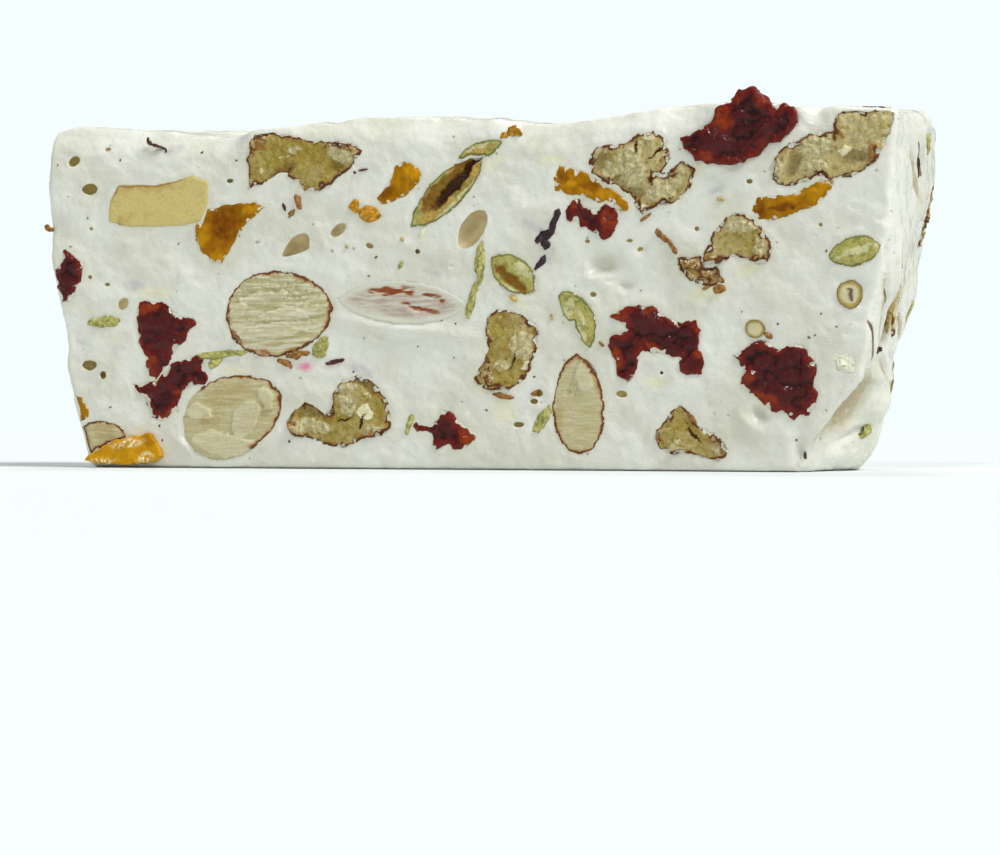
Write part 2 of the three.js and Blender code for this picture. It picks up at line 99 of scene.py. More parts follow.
# Each side's drawing: its X axis, Y axis and outward normal
SIDES = {
    "front": (Vector((1, 0, 0)), Vector((0, 0, 1)), Vector((0, -1, 0))),
    "back": (Vector((-1, 0, 0)), Vector((0, 0, 1)), Vector((0, 1, 0))),
    "right": (Vector((0, 1, 0)), Vector((0, 0, 1)), Vector((1, 0, 0))),
    "left": (Vector((0, -1, 0)), Vector((0, 0, 1)), Vector((-1, 0, 0))),
    "top": (Vector((1, 0, 0)), Vector((0, 1, 0)), Vector((0, 0, 1))),
}

# Each piece's slot, and how far noises of given widths bend its outline
SLOTS = {entry["node"]: entry["material_slot"] for entry in frame["record"]["subparts"]}
WARPS = {
    "almond": ((2.2, 0.14),),
    "pecan": ((2.2, 0.35), (0.8, 0.16)),
    "cashew": ((2.2, 0.1),),
    "cranberry": ((3, 0.45), (1.3, 0.4)),
    "apricot": ((2, 0.25), (0.9, 0.12)),
    "seed": ((2, 0.14),),
}
# How wide and how deep the nougat bites into the outline of each kind of piece
BITES = {"almond": (0.9, 0.2), "pecan": (1.1, 0.6), "cashew": (0.8, 0.12), "cranberry": (1.7, 0.65),
         "apricot": (0.9, 0.5), "seed": (0.8, 0.12)}
# Pieces that stand out of the nougat instead of being cut off level with it
PROUD = ("apricot_f", "cranberry_b")
# How pale and crumbly each pecan's flesh is, from waxy to crumbs
PECAN_TONES = {"pecan_a": 0.1, "pecan_b": 0.6, "pecan_c": 0.6, "pecan_d": 0.3, "pecan_e": 0.15, "pecan_g": 0.25}
# How bright each apricot's flesh is, from caramelised to glassy
APRICOT_TONES = {"apricot_a": 0.4, "apricot_b": 0.5, "apricot_d": 0.5, "apricot_e": 0.5, "apricot_f": 0.9,
                 "orange_peel": 0.45}

# How far the nougat closes over the rim of each piece, in millimetres
POCKET_SHRINK = 0.18
# How far a pocket's cutter stands out of the surface, and the spacing of the points round its outline
CUTTER_LIFT = 3
CUTTER_STEP = 0.6
# A face is outer if its normal leans at least this much towards its side
FACING = 0.5
# Corners of the CAD mesh nearer than this are one
MERGE_DISTANCE = 0.002
# Nothing but the nougat comes nearer to the base than this
CLEARANCE = 0.05
# Edges of the nougat that turn by more than this many degrees stay sharp
SHARP_TURN = 50

# Bubble holes wide enough to see into: middle x, z, length, width and turn in degrees
FRONT_BUBBLES = (
    (5, 34.5, 6.4, 3.5, 54),
    (-16, 35, 2.9, 1.6, 35),
    (-51.8, 24.9, 2.2, 1.5, 45),
)
SMALL_BUBBLES = (
    (-57.5, 42.5, 2.6, 1.7, 0),
    (-60.3, 46.9, 2, 1.5, 30),
    (-57.5, 15.6, 2.6, 1.6, 0),
    (-54.6, 48.6, 1.4, 1, 0),
    (-54.5, 27.9, 1, 0.6, 0),
    (-33.6, 42.9, 1.2, 0.7, 0),
    (-11.1, 32.6, 1.3, 0.8, -20),
    (20.2, 47.2, 1.2, 0.6, 0),
    (23, 24.8, 1, 0.8, 0),
    (38, 33.6, 0.7, 0.7, 0),
    (55.3, 33.6, 0.6, 0.6, 0),
    (-55.1, 14.1, 1.1, 1.3, 0),
    (15, 11, 1.2, 1.1, 0),
    (14.3, 9.8, 1.2, 0.8, 0),
    (12, 6.5, 1.6, 0.8, 0),
    (30, 31, 1.3, 0.9, 15),
    (28.4, 32.2, 0.9, 0.5, 0),
    (22.2, 32.3, 0.8, 0.5, 0),
    (33, 13.7, 0.5, 0.5, 0),
)
BACK_BUBBLES = (
    (-8, 33, 4.6, 3.2, 20),
    (53, 29, 3, 2.2, -30),
    (-58, 30, 2.8, 2, 60),
    (36, 30.5, 2.4, 1.8, 0),
    (18, 32, 5.8, 3, 40),
)
# The bubble with a flat floor: middle x and z of the floor, length, height and turn
HALF_BUBBLE = (-22.9, 32.0, 5.0, 2.4, 15)

# Swellings and dimples of the cut front: x, z, half length, half width, turn and height
FRONT_FORMS = (
    (24.5, 29.2, 1.9, 1.4, 0, -1.7),
    (23.2, 27.2, 2.4, 0.5, 8, 0.6),
    (22, 28.4, 0.5, 1.2, 10, 0.4),
    (27.7, 26, 0.9, 0.7, 0, -1.0),
    (30.2, 31, 0.8, 0.6, 20, -0.5),
    (46.9, 8, 1.2, 0.7, -40, -1.3),
    (45.2, 6.8, 1.7, 0.5, -40, 0.6),
    (-59.4, 19.1, 1, 0.6, 0, -0.35),
    (-5, 20.4, 8.5, 1.1, -7, 0.9),
    (-10, 18.6, 2, 0.5, -20, 0.35),
    (-4, 18.2, 2.4, 0.4, 10, 0.35),
    (37, 27, 3.2, 0.7, -30, 0.4),
    (-8.6, 6, 2, 1, 0, 0.4),
    (-41, 3.4, 3, 0.8, -35, 0.45),
    (-25, 29.4, 4, 0.8, 10, 0.3),
    (6.5, 43, 2, 0.7, 40, 0.3),
    (51.8, 7, 1.2, 6, 20, -0.3),
    (52.6, 2.6, 0.7, 1.6, 12, -1.1),
    (-30.5, 38, 1.6, 0.8, 10, 0.35),
    (-3, 9, 3, 1.2, -20, 0.25),
    (27, 14, 3, 1.4, 10, 0.25),
)
# Slits of the right end: y, z, length, width, turn, depth, and whether their walls take the brown colour, nut skin
# in the long slits and painted shade in the cleft at the hollow
RIGHT_SLITS = (
    (-14.6, 17.6, 8.6, 0.8, -52, 1.0, True),
    (-12.6, 20.7, 11, 0.9, -58, 1.2, True),
    (-4.6, 43.6, 7, 0.9, -42, 0.8, True),
    # the cleft under the front edge at the hollow, whose brown is painted shade
    (-11.2, 9.6, 6.4, 1.5, 73, 1.6, True),
)
# Folds and swellings of the right end: y, z, half length, half width, turn and height
RIGHT_FORMS = (
    (-12.4, 9.2, 3.8, 2.2, 62, -2.4),
    (-15.6, 6.4, 3.6, 0.7, 58, -0.9),
    (-2.9, 8.8, 2.6, 2.2, 0, 1.8),
    (-8.8, 20.8, 5, 0.9, -80, -1.1),
    (-7, 5, 5, 0.6, 20, -0.7),
    (-7.5, 2.4, 5, 1.6, 0, 0.5),
    (-13.4, 24, 9, 0.5, -62, -0.9),
    (-11, 26, 9, 0.7, -60, 0.6),
    (-8.6, 29, 9, 0.5, -62, -0.8),
    (-6.4, 32, 9, 0.8, -60, 0.5),
    (-3.4, 27, 10, 0.5, -60, -0.7),
    (-14.6, 33, 7, 0.6, -70, -0.5),
    (-7.6, 43, 6, 0.7, -55, -0.6),
    (-3.6, 45, 6, 0.8, -45, 0.5),
    (0, 36, 9, 0.7, -58, -0.5),
    (4, 30, 8, 0.8, -55, 0.5),
    (2.6, 20, 6, 0.6, -50, -0.6),
    (8, 34, 8, 0.7, -60, -0.5),
    (-4, 14.6, 4, 0.6, -25, -0.7),
)

# Where shade is painted into the hollow and the folds and slits of the right end: y, z, half length, half width and
# turn
RIGHT_FOLD_PAINTED_SHADE = (
    (-9.6, 9.6, 4.2, 2.8, 73), (-11.4, 9.4, 4.4, 1.4, 73), (-13.4, 22, 6, 0.8, -60), (-8.8, 21, 5, 1.3, -80),
    (-3.4, 26, 4, 0.8, -60), (-15.6, 5.4, 2, 0.5, 58), (-6, 41, 4, 0.8, -50), (-4.4, 14.2, 3, 0.7, -25),
    (2.6, 20, 3, 0.8, -50),
)

# Where colour and relief change on the cut pieces: x, z, half length, half width and turn. rimless parts have no
# skin at their rim, and film is nougat that laps over them.
MARKS = {
    "pecan_a": {
        "skin": ((-29, 48.6, 1.4, 1.7, 60), (-24, 41, 0.7, 1.2, 0), (-19, 48.1, 1.3, 0.4, 10)),
        "crumb": ((-15, 46.5, 3, 1.7, -25), (-23, 47, 1, 0.6, 0), (-30, 42, 1.3, 0.7, -40)),
        "deep": ((-16.2, 45, 1.1, 1.3, 0), (-25, 44, 2.5, 0.7, 25)),
        "crust": ((-28.6, 49.4, 1.6, 0.8, 0), (-30, 47.6, 0.7, 1.6, 0), (-14.4, 47.6, 1.6, 0.8, -40),
                  (-26.6, 41.8, 1.2, 0.6, 10)),
    },
    "pecan_b": {
        "skin": ((30.5, 35.5, 0.9, 0.3, 35),),
        "crumb": ((23.5, 45, 1.8, 0.6, 30), (25.4, 42, 1, 1.2, 0), (28.6, 42.6, 2.1, 2.7, 0),
                  (33, 39, 2, 1.5, 0), (35.2, 41, 1.3, 1.7, -20)),
        "deep": ((24.3, 43.5, 1.3, 1.6, 20), (27, 40.4, 1, 1.1, 0), (29.2, 39, 1.3, 1, 0)),
        "crack": ((29.3, 45.4, 0.15, 1.1, 0), (32.5, 44.5, 1.6, 0.15, 25), (31.4, 40.8, 0.15, 1.2, 15)),
        "pale": ((31.4, 46.5, 0.9, 0.5, 0), (30.4, 36.5, 1.1, 0.9, 0)),
    },
    "pecan_c": {
        "skin": ((62.4, 42.6, 0.8, 1.6, 0), (57.5, 46.3, 1.5, 0.35, -45)),
        "crumb": ((49.1, 41, 1.1, 1.4, 0), (55, 44.6, 2.6, 1.4, 15), (54.5, 41.6, 1.7, 1.2, 0)),
        "deep": ((51.6, 42, 0.8, 1.9, -20), (60, 42.6, 1.5, 0.8, 10)),
        "crack": ((55.7, 40.4, 1.5, 0.15, -15), (58.8, 40.2, 1.4, 0.15, 20)),
        "pale": ((58.5, 43.5, 1, 0.7, 0),),
        "grain": ((61.5, 47.4, 4.2, 3.2, 20),),
        "rimless": ((65.5, 46, 2.2, 4, 0),),
    },
    "pecan_d": {
        "skin": ((39.9, 28.9, 0.6, 1.2, 0), (43, 28.6, 1.8, 0.45, 30)),
        "crumb": ((44.6, 34, 2.6, 1.4, 0), (47.2, 30.4, 1.2, 1.8, 0), (40.5, 29, 0.8, 0.7, 0)),
        "crust": ((41.4, 28.8, 2.4, 0.8, 12), (45.6, 28.9, 1.6, 0.6, 25), (47.6, 32.8, 0.5, 1, 20)),
    },
    "pecan_e": {
        "skin": ((9.7, 11.6, 2.3, 0.5, 0), (14.7, 19, 0.35, 2.4, 0), (7, 15, 0.5, 2.4, 0)),
        "crumb": ((12.8, 17.7, 2, 1.9, 0), (9.4, 15, 1.4, 0.7, 30)),
        "crack": ((11.1, 15.7, 0.17, 1.3, -30),),
        "pale": ((13.2, 15, 0.9, 0.6, 0),),
        "grain": ((12.5, 21, 2.1, 1.3, -30),),
        "crust": ((9.4, 11.4, 2.6, 0.6, 0), (7.2, 14, 0.6, 2.4, 0), (14.2, 15, 0.6, 1.1, 20)),
    },
    "pecan_f": {
        "skin": ((36.4, 29.1, 1.5, 1.3, 0), (39.7, 27.5, 1.5, 0.9, 0)),
        "crumb": ((37.6, 28.1, 1.2, 1, 0),),
        "crust": ((36.2, 29, 1.9, 1.9, 0), (39.6, 27.4, 2.2, 1.3, 0)),
    },
    "pecan_g": {
        "skin": ((-23.6, 7, 0.6, 1.4, 0), (-17.2, 8.4, 0.7, 1.2, 10), (-10.7, 5, 0.5, 0.5, 0)),
        "crumb": ((-22.5, 5.9, 1.1, 1.2, 0), (-14.6, 9.5, 1.3, 1.8, 30), (-19.5, 6.4, 2.5, 0.9, -10),
                  (-14.6, 12, 1.2, 1.1, 0), (-10.1, 5.5, 2.2, 0.8, 0)),
        "deep": ((-20.5, 8.6, 2.2, 1.1, 0), (-11.4, 12.6, 2.7, 1.1, -20)),
        "crack": ((-14.7, 7.4, 1.7, 0.17, 25), (-12.3, 7, 0.17, 1.3, -25)),
        "pale": ((-11.7, 8.4, 1.1, 1.1, 0),),
        "crust": ((-23.4, 7, 0.7, 1.5, 0), (-17.2, 9, 0.7, 1.2, 20)),
    },
    "pecan_h": {
        "skin": ((42, 3.6, 0.6, 2.1, 0),),
        "crumb": ((41.2, 3.6, 1, 1.4, 0), (35.1, 2.7, 1.5, 0.7, 0)),
        "crack": ((37.5, 5.5, 1.6, 0.15, -50),),
    },
    "almond_a": {
        "skin": ((-22.1, 17.4, 2.2, 0.6, 0), (-28.8, 17.1, 2.3, 0.5, 0)),
        "dots": ((-24.6, 26.6, 5.5, 1.7, -12), (-31, 26.4, 2, 1, 20)),
        "flake": ((-32.2, 23.6, 1.9, 1, 25), (-26.5, 20.6, 6, 1.1, 4), (-23, 23, 6, 0.9, 6),
                  (-28, 25.4, 4, 0.7, 6)),
        "crust": ((-32.6, 19.4, 1.6, 0.7, -50), (-28.6, 17, 3, 0.45, -12), (-22.2, 17.3, 2.4, 0.5, 14)),
    },
    "almond_b": {
        "dull": ((-34, 11, 4, 1.6, 10), (-29.6, 7.6, 3.8, 1.4, 42), (-36.6, 7.2, 2.2, 1.2, 30)),
        "flake": ((-34.6, 3.6, 5.4, 1.7, -8), (-31, 7.4, 2, 3, -30), (-38.6, 8.4, 2.2, 1, -10),
                  (-27.6, 10.6, 1.2, 1.8, 20)),
        "rimless": ((-40, 4.5, 4.5, 6, 30), (-33, 0.6, 5, 2, 0)),
    },
    "cashew_a": {"rimless": ((-38, 40, 2.6, 6, 0), (-43, 36.4, 7, 1.6, 0), (-54, 38, 1, 2, 0))},
    "almond_c": {
        "dots": ((20, 11.4, 0.9, 1.3, 0),),
        "flake": ((22, 13.5, 1.4, 2.2, 0),),
        "dull": ((18, 7.5, 0.7, 2.6, 0),),
    },
    "almond_d": {
        "skin": ((-8.2, 25.9, 3.6, 0.55, -3), (-5.2, 26.3, 1.4, 0.8, -20), (-6.9, 27.2, 2, 0.25, 0),
                 (-1.1, 25, 1.9, 0.4, -15), (-3, 23.2, 2.8, 0.35, -17)),
        "dull": ((-6, 24.2, 9, 2.2, -8), (1.6, 23, 3.6, 2, -20), (-13, 24.5, 2.6, 0.8, 2),
                 (-2, 25.4, 4, 1.6, -12)),
    },
    "almond_e": {
        "skin": ((-58.6, 3.8, 1.1, 1.4, -30),),
        "dull": ((-54.9, 5.7, 1.9, 1.4, 0),),
    },
    "cranberry_a": {"glow": ((25.3, 35, 1.3, 1.7, 0), (20, 37.4, 0.7, 1.1, 0))},
    "cranberry_b": {"glow": ((42, 48.6, 1.3, 1.8, 20), (43.6, 51, 0.8, 0.8, 0), (47.4, 50.6, 0.6, 0.9, 0),
                             (39.8, 43.5, 1.5, 0.8, 0))},
    "cranberry_c": {"glow": ((27, 22, 1.8, 1.2, -10), (31.3, 23, 1.3, 0.9, 0), (26.5, 15.9, 1, 1.9, 0),
                             (31.4, 17.3, 1.5, 0.8, -20), (38.4, 19.9, 0.6, 1.4, 0), (38.2, 16.2, 0.6, 1.1, 0))},
    "cranberry_d": {"glow": ((47.9, 10, 2.2, 0.8, -30), (45.3, 12.9, 1.3, 0.7, 20), (54.9, 13.5, 0.6, 0.9, 0),
                             (43.9, 15.6, 0.5, 0.4, 0))},
    "cranberry_e": {"glow": ((-47.2, 24.2, 2.2, 0.8, 0), (-46.7, 15.9, 1.3, 2.4, 15), (-48.9, 19, 0.7, 1.9, 0),
                             (-41.3, 19.3, 0.5, 0.9, -40))},
    "cranberry_f": {"glow": ((-41, 11.6, 2.1, 0.7, 20), (-43.8, 8.3, 1.8, 0.5, 20))},
    "cranberry_g": {"glow": ((-65.3, 32.1, 0.6, 1.2, 0),)},
    "cranberry_h": {"glow": ((3.9, 5.3, 1.4, 2.4, 30), (-3.9, 5.6, 0.7, 0.9, 0), (0.4, 8.5, 0.6, 1, 30))},
    "apricot_a": {
        "dark": ((-34.6, 36.6, 2.4, 2.9, -25),),
        "bright": ((-38, 34.9, 0.9, 1.8, -20), (-36, 31.5, 1.4, 1.1, 0), (-29.8, 38.4, 1.6, 0.6, 10)),
    },
    "apricot_b": {"dark": ((-8.4, 40.2, 1.4, 1, 30),), "bright": ((-4.6, 43, 1.2, 1, 0),)},
    "apricot_d": {
        "dark": ((22.5, 40.1, 1.6, 0.6, -10), (18.6, 41.6, 0.8, 0.8, 0)),
        "bright": ((25, 38.6, 1.5, 0.7, -25), (20, 40.6, 1, 0.4, 0)),
        "film": ((19.1, 42.9, 0.3, 0.8, 10), (20.6, 42.3, 0.4, 0.8, 15), (22.9, 41.3, 0.35, 0.8, 20),
                 (24.6, 40.4, 0.4, 0.7, 20), (17.6, 40.6, 0.5, 0.3, 0)),
    },
    "apricot_e": {"bright": ((-59.9, 8.2, 0.8, 1.4, 0),)},
    "apricot_f": {
        "dark": ((-46.8, 4, 1, 1.3, -60),),
        "crystal": ((-50.2, 3.6, 2.4, 0.6, 12), (-47.2, 1.4, 1.3, 0.8, 0), (-54.4, 1, 2.2, 0.4, 5)),
    },
    "orange_peel": {
        "dark": ((47.1, 36.4, 0.9, 1.5, 0), (50.2, 36.2, 2.2, 0.35, 5)),
        "bright": ((55.3, 38.6, 1.9, 0.8, 30), (51.6, 37.6, 1.8, 0.5, 15)),
    },
    "seed_a": {
        "gap": ((1.8, 40.6, 4, 0.75, 44), (4.8, 43.7, 3.6, 0.45, 44)),
        "pale": ((2.6, 38.8, 6, 0.3, 43),),
        "stripe": ((0.2, 40.2, 4.2, 1.3, 43), (3.6, 43.6, 3.8, 0.8, 40)),
        "tan": ((2.6, 39.6, 8, 1.6, 43), (4, 44.4, 4, 1, 38)),
        "film": ((8.3, 41.6, 1.4, 2.6, -30), (-4.6, 40.4, 0.5, 1.4, -20)),
    },
    "seed_b": {"tan": ((6, 45.7, 2.6, 0.5, 16),), "pale": ((6, 46.2, 2, 0.25, 16),)},
    "seed_c": {"pale": ((60.6, 30, 2.6, 0.5, 14), (57.2, 28.8, 1.2, 0.4, 20))},
    "seed_e": {
        "pale": ((19.4, 22.6, 0.8, 1.8, -30), (21.4, 20.4, 0.5, 2, 12)),
        "film": ((18.8, 18.9, 3.8, 2.4, -62),),
    },
    "seed_f": {
        "stripe": ((10.8, 27.2, 3.2, 0.8, -40),),
        "pale": ((12.7, 28.4, 1.6, 0.9, -48), (9.6, 25.9, 2.4, 0.6, -26)),
    },
}

# Each kind of scrap: its piece, roughness, slot, thickness and how strongly it is mottled
SCRAP_KINDS = {
    "green": ("seed_flakes", 0.5, "seed", 0.32, 0.6),
    "brown": ("nut_skins", 0.5, "pecan", 0.32, 0.6),
    "skin": ("dark_skins", 0.35, "pecan", 0.32, 0.6),
    "purple": ("berry_skins", 0.3, "cranberry", 0.32, 0.6),
    "amber": ("fruit_scraps", 0.3, "apricot", 0.32, 0.6),
    "pale": ("pale_scraps", 0.6, "almond", 0.1, 0.15),
    "tan": ("nut_crumbs", 0.6, "almond", 0.32, 0.6),
}
# Scraps on each side, by kind: the middle's place on it, length, width and turn in degrees
SCRAPS = {
    "front": {
        "purple": ((17.3, 35, 4.6, 1, 68), (15.7, 33.2, 3, 1.5, 30), (16, 32, 1, 1.8, 5),
                   (15.2, 29.4, 2.8, 0.9, 50)),
        "amber": ((-11, 37.1, 3.6, 2.2, -5), (-13.4, 38.3, 1.6, 2.2, 10), (11.2, 48.2, 2.4, 1.8, 0),
                  (9.8, 47.8, 1.4, 1.1, 0)),
        "green": ((6.1, 29.7, 6.6, 1.3, 88), (4.8, 24.3, 5.4, 1.2, 75), (-55.2, 22.1, 5.8, 1.5, 0),
                  (-35.3, 17, 9.2, 1.1, 5), (-36.2, 15.8, 2.6, 1.1, 20), (-18.7, 17.8, 3.4, 2.3, 60),
                  (15.6, 7.3, 4.4, 1.5, 60), (-4.8, 6.4, 3.2, 0.9, 72), (-6.2, 29.7, 1.4, 0.6, 60)),
        "brown": ((32.6, 33.1, 1.5, 0.9, -50), (33.4, 32.3, 1.7, 0.9, -35), (34.3, 31.5, 1.7, 0.7, -60),
                  (34.9, 30.7, 1.3, 0.6, -70), (-22.5, 39.4, 2.4, 0.9, -75), (-23.6, 37.9, 1.2, 0.8, 20),
                  (9.6, 10.6, 3.4, 0.8, -10), (14.4, 11, 1.4, 0.7, 25), (-24.6, 15.6, 2.8, 1.1, -30),
                  (-22.6, 16.9, 3.8, 1.1, 10), (41.2, 25.2, 1.8, 1.2, 0), (39.4, 25.4, 1.4, 0.5, 30),
                  (30.7, 35.4, 2, 0.5, 35), (48.1, 18.6, 1.3, 0.7, -30), (-64.8, 36.8, 1.5, 0.9, -30),
                  (37.4, 7.2, 2, 0.8, -50), (24.3, 17.8, 1, 0.5, -40)),
        "skin": ((-47.5, 49.8, 0.7, 0.4, 75), (-47.2, 49.2, 1.1, 0.6, -50), (-46.3, 48.75, 1.3, 0.5, -20),
                 (-45.3, 48.45, 1.2, 0.42, -22), (-44.6, 47.95, 0.9, 0.34, -70), (-16.6, 15.7, 3.2, 0.7, 12),
                 (-12.1, 43.7, 1.4, 0.4, 10), (-13.4, 43.4, 0.6, 0.4, -30), (53.2, 2.4, 0.7, 1.2, 10),
                 (-24.8, 38.6, 0.4, 1.6, 20)),
        "pale": ((58.6, 14.8, 3.8, 2.2, -35), (-2.7, 34.3, 2, 1, 60)),
        "tan": ((41.4, 37.5, 1.2, 0.6, -20), (16.9, 21.7, 0.5, 1, 0), (11.2, 24.4, 1.5, 0.8, -30),
                (-14.7, 32.6, 0.6, 0.6, 0), (-5.8, 33.3, 0.8, 0.7, 0)),
    },
    "back": {
        "green": ((-58, 44, 4.6, 1.6, 30), (-14, 36, 5.4, 1.5, 60), (52, 46, 4.4, 2.2, 10),
                  (-40, 17, 5.2, 1.4, -60), (36, 17, 5.4, 1.5, 75), (13, 16, 4, 2.8, 0),
                  (57, 12, 5.4, 2.2, 70)),
        "amber": ((-36, 44, 3.6, 2, -20), (-56, 6, 4.4, 2, 20), (60, 24, 3.6, 2, 50)),
        "brown": ((29, 33, 5, 1.6, -35),),
        "purple": ((9, 36, 4, 2.6, 45),),
        "skin": ((-27, 4.5, 5, 0.9, -8), (-2, 38, 2.6, 0.5, 25)),
        "tan": ((42, 31, 1.4, 0.8, 0),),
    },
    "right": {
        "skin": ((-4, 42.4, 3, 0.8, -60), (-10.2, 16.6, 1.2, 0.7, -60)),
        "green": ((11.4, 22.6, 4, 1.6, 80), (-4, 5.6, 2, 1.7, 60), (-1, 46, 3.6, 1.8, -40)),
        "tan": ((-8.8, 21.6, 5, 1.1, -82),),
    },
    "left": {
        "green": ((9, 27, 4.4, 1.8, -60),),
        "amber": ((-9, 12, 3.8, 2, 20),),
        "brown": ((8, 43, 4.6, 1.6, 10),),
    },
    "top": {
        "green": ((-8, -6, 5, 1.8, 25), (36, -3, 5.2, 1.8, 70)),
        "brown": ((-52, -7, 4.4, 2, -15),),
        "amber": ((54, 8, 4.2, 2.2, -30),),
    },
}
# Two rings cut from narrow nuts or seeds: x, z, length, width, turn, and whether the core has a slit
RINGS = ((59.3, 24.1, 3.5, 3.9, 0, True), (46.3, 19.6, 2.9, 2.5, -15, False))

# Dark specks on the cut front: x, z and half width
FRONT_SPECKS = (
    (-52.3, 46.8, 0.25), (-38.6, 47.4, 0.35), (-32.6, 45.9, 0.25), (-63.1, 46.5, 0.2), (-60.9, 33.8, 0.2),
    (-58, 38.1, 0.2), (-42.4, 33.8, 0.2), (-10.1, 30.9, 0.28), (-11.2, 28.2, 0.22),
    (56.1, 30, 0.22), (55.4, 21.5, 0.18), (-45.5, 6.4, 0.25), (-45, 4.2, 0.22), (-53.8, 9.2, 0.22),
    (0.2, 21.6, 0.22), (2.1, 23.8, 0.22), (2.4, 21, 0.18), (-13.6, 14.2, 0.25), (-3.5, 17.8, 0.2),
    (2.1, 16.1, 0.18), (-23.9, 4.1, 0.28), (14.3, 13.3, 0.25), (20.7, 20.4, 0.22), (33, 13.7, 0.2),
    (7.1, 8.6, 0.25), (53.7, 18.3, 0.28), (49.5, 20.2, 0.22), (57.5, 19.7, 0.18), (54.6, 18.6, 0.2),
    (-20, 36, 0.15), (-24, 37.2, 0.18), (30, 25.2, 0.15), (44.4, 22, 0.15), (52, 4.4, 0.2),
)
# Stains on the cut front, and among the grey ones a painted shadow: x, z, half length, half width and turn
YELLOW_STAINS = (
    (8, 44, 2, 0.6, 10), (7.4, 43.1, 1, 0.5, -30), (-2.6, 34.2, 1.3, 0.7, 60), (-53, 19.6, 0.8, 0.6, 0),
    (9.5, 9, 1.6, 2.4, 20), (46, 28.4, 3, 1.2, 30), (32.4, 12.4, 2, 0.8, 0), (-49.7, 5, 1.8, 1, 20),
    (12, 24, 1.6, 0.7, -30), (-33, 14.6, 2, 0.7, 0), (40, 25, 3, 1.2, 10), (-46, 14, 1.5, 4, 10),
    (6.4, 12.6, 1, 2, 0), (-46, 26.4, 3, 1, 0), (38, 41.6, 1.6, 0.8, 30), (17, 44, 2, 0.6, 0),
)
BERRY_STAINS = ((-21.4, 15.1, 1.2, 0.6, 0),)
GREY_STAINS_AND_SHADOW = (
    # the grey at x -43.2, z 48 is a painted shadow beside the curl of skin
    (-1.5, 28.4, 1.6, 0.5, -15), (-43.2, 48, 1.5, 0.9, 20), (16.6, 30.6, 1.2, 0.6, 50), (-12.6, 14.6, 2.4, 0.8, -25),
    (14.4, 34.6, 0.6, 2, 60), (41, 39, 1.4, 0.5, 20), (-50, 27.6, 2, 0.8, 0),
)

# The lights: direction, angular width in degrees and strength
LIGHTS = {
    "soft_key": ((-0.75, 0.2, -1), 26, 2.75),
    "small_window": ((0, 0.8, -0.6), 3, 0.5),
    "top_glow": ((0.1, -0.5, -1), 20, 0.6),
}
AMBIENT = 0.35
# The camera: degrees that it is turned, and its distance, side step and height in millimetres
CAMERA_TURN = 19.8
CAMERA_BACK, CAMERA_RIGHT, CAMERA_UP = 316.9, 8.5, 6.1


def linear(hex_colour):
    """Turns an sRGB hex colour into linear RGBA."""
    channels = [int(hex_colour[i:i + 2], 16) / 255 for i in (1, 3, 5)]
    return tuple(((c + 0.055) / 1.055) ** 2.4 if c > 0.04045 else c / 12.92 for c in channels) + (1.0,)


def colour_property(name, description, hex_colour):
    return FloatVectorProperty(name=name, description=description, default=linear(hex_colour),
                               size=4, min=0, max=1, subtype="COLOR")


def length_property(name, description, millimetres):
    return FloatProperty(name=name, description=description, default=millimetres * MM,
                         min=0, precision=5, subtype="DISTANCE", unit="LENGTH")


# ---------------------------------------------------------------- settings


class NougatSettings(bpy.types.PropertyGroup):
    edge_radius: length_property("Edge radius", "Soft rounding of the cut edges", 1.0)
    shoulder: length_property("Shoulder", "How far the cut faces lean back at the top edge", 2.0)
    grid: length_property("Grid", "Spacing of the body's mesh, halved on the cut front", 0.84)
    face_waves: length_property("Face waves", "Unevenness of the knife cut", 0.26)
    lump_height: length_property("Lumps", "Height of the lumps on the top and the ends", 0.7)
    bubbles: IntProperty(name="Bubbles", description="Small bubble holes on each cut face", default=60, min=0)
    colour: colour_property("Nougat", "Whipped egg white and honey", "#E1E0D5")
    shade: colour_property("Mottling", "Slightly denser patches", "#D5D3C2")
    # painted shade: the dark inside of the pinholes
    pit: colour_property("Pits", "Pinholes of the whip", "#A9A080")
    # painted shade: the dim, warm inside of a wide bubble hole, whose wall is plain nougat
    bubble: colour_property("Bubble wall", "Syrupy inside of a wide air bubble", "#D0BF94")
    # painted shade: the darker inside of a small bubble hole, whose wall is plain nougat
    small_bubble: colour_property("Small bubble wall", "Syrup that fills a small bubble", "#9E8A48")
    # nut skin in the long slits of the right end, and painted shade in the cleft at its hollow
    slit: colour_property("Slit", "Nut skin deep in the folds of an end", "#9A8468")
    # painted shade in the hollow and folds of the right end
    fold: colour_property("Tinted folds", "Syrup in the folds of an end", "#B3A684")
    yellow: colour_property("Yellow stain", "Oil and syrup that seeped from a seed", "#E6DFA6")
    berry: colour_property("Berry stain", "Juice of a berry", "#E08CA8")
    # also a painted shadow beside the curl of skin
    grey: colour_property("Grey stain", "A dark skin just under the nougat", "#B9B3B6")


class AlmondSettings(bpy.types.PropertyGroup):
    flesh: colour_property("Flesh", "Dry cut face of the kernel", "#BFB488")
    pale: colour_property("Pale fibres", "Raised fibres that catch the light", "#E2DCC0")
    dull: colour_property("Dull patches", "Oilier patches", "#B09A62")
    # also painted shade in the grooves between the fibres
    dots: colour_property("Pits", "Olive pits between the fibres", "#938A55")
    # also painted shade in the seams of the crust
    skin: colour_property("Skin", "Thin brown skin at the rim", "#693B16")
    fringe: colour_property("Fringe", "Torn skin inside the rim", "#A9743A")
    under_film: colour_property("Under the film", "Kernel seen through the film", "#B49F90")
    streak: colour_property("Streak", "Red-brown skin that shows through the film", "#8A3D10")
    skin_width: length_property("Skin width", "Width of the skin at the rim", 0.13)


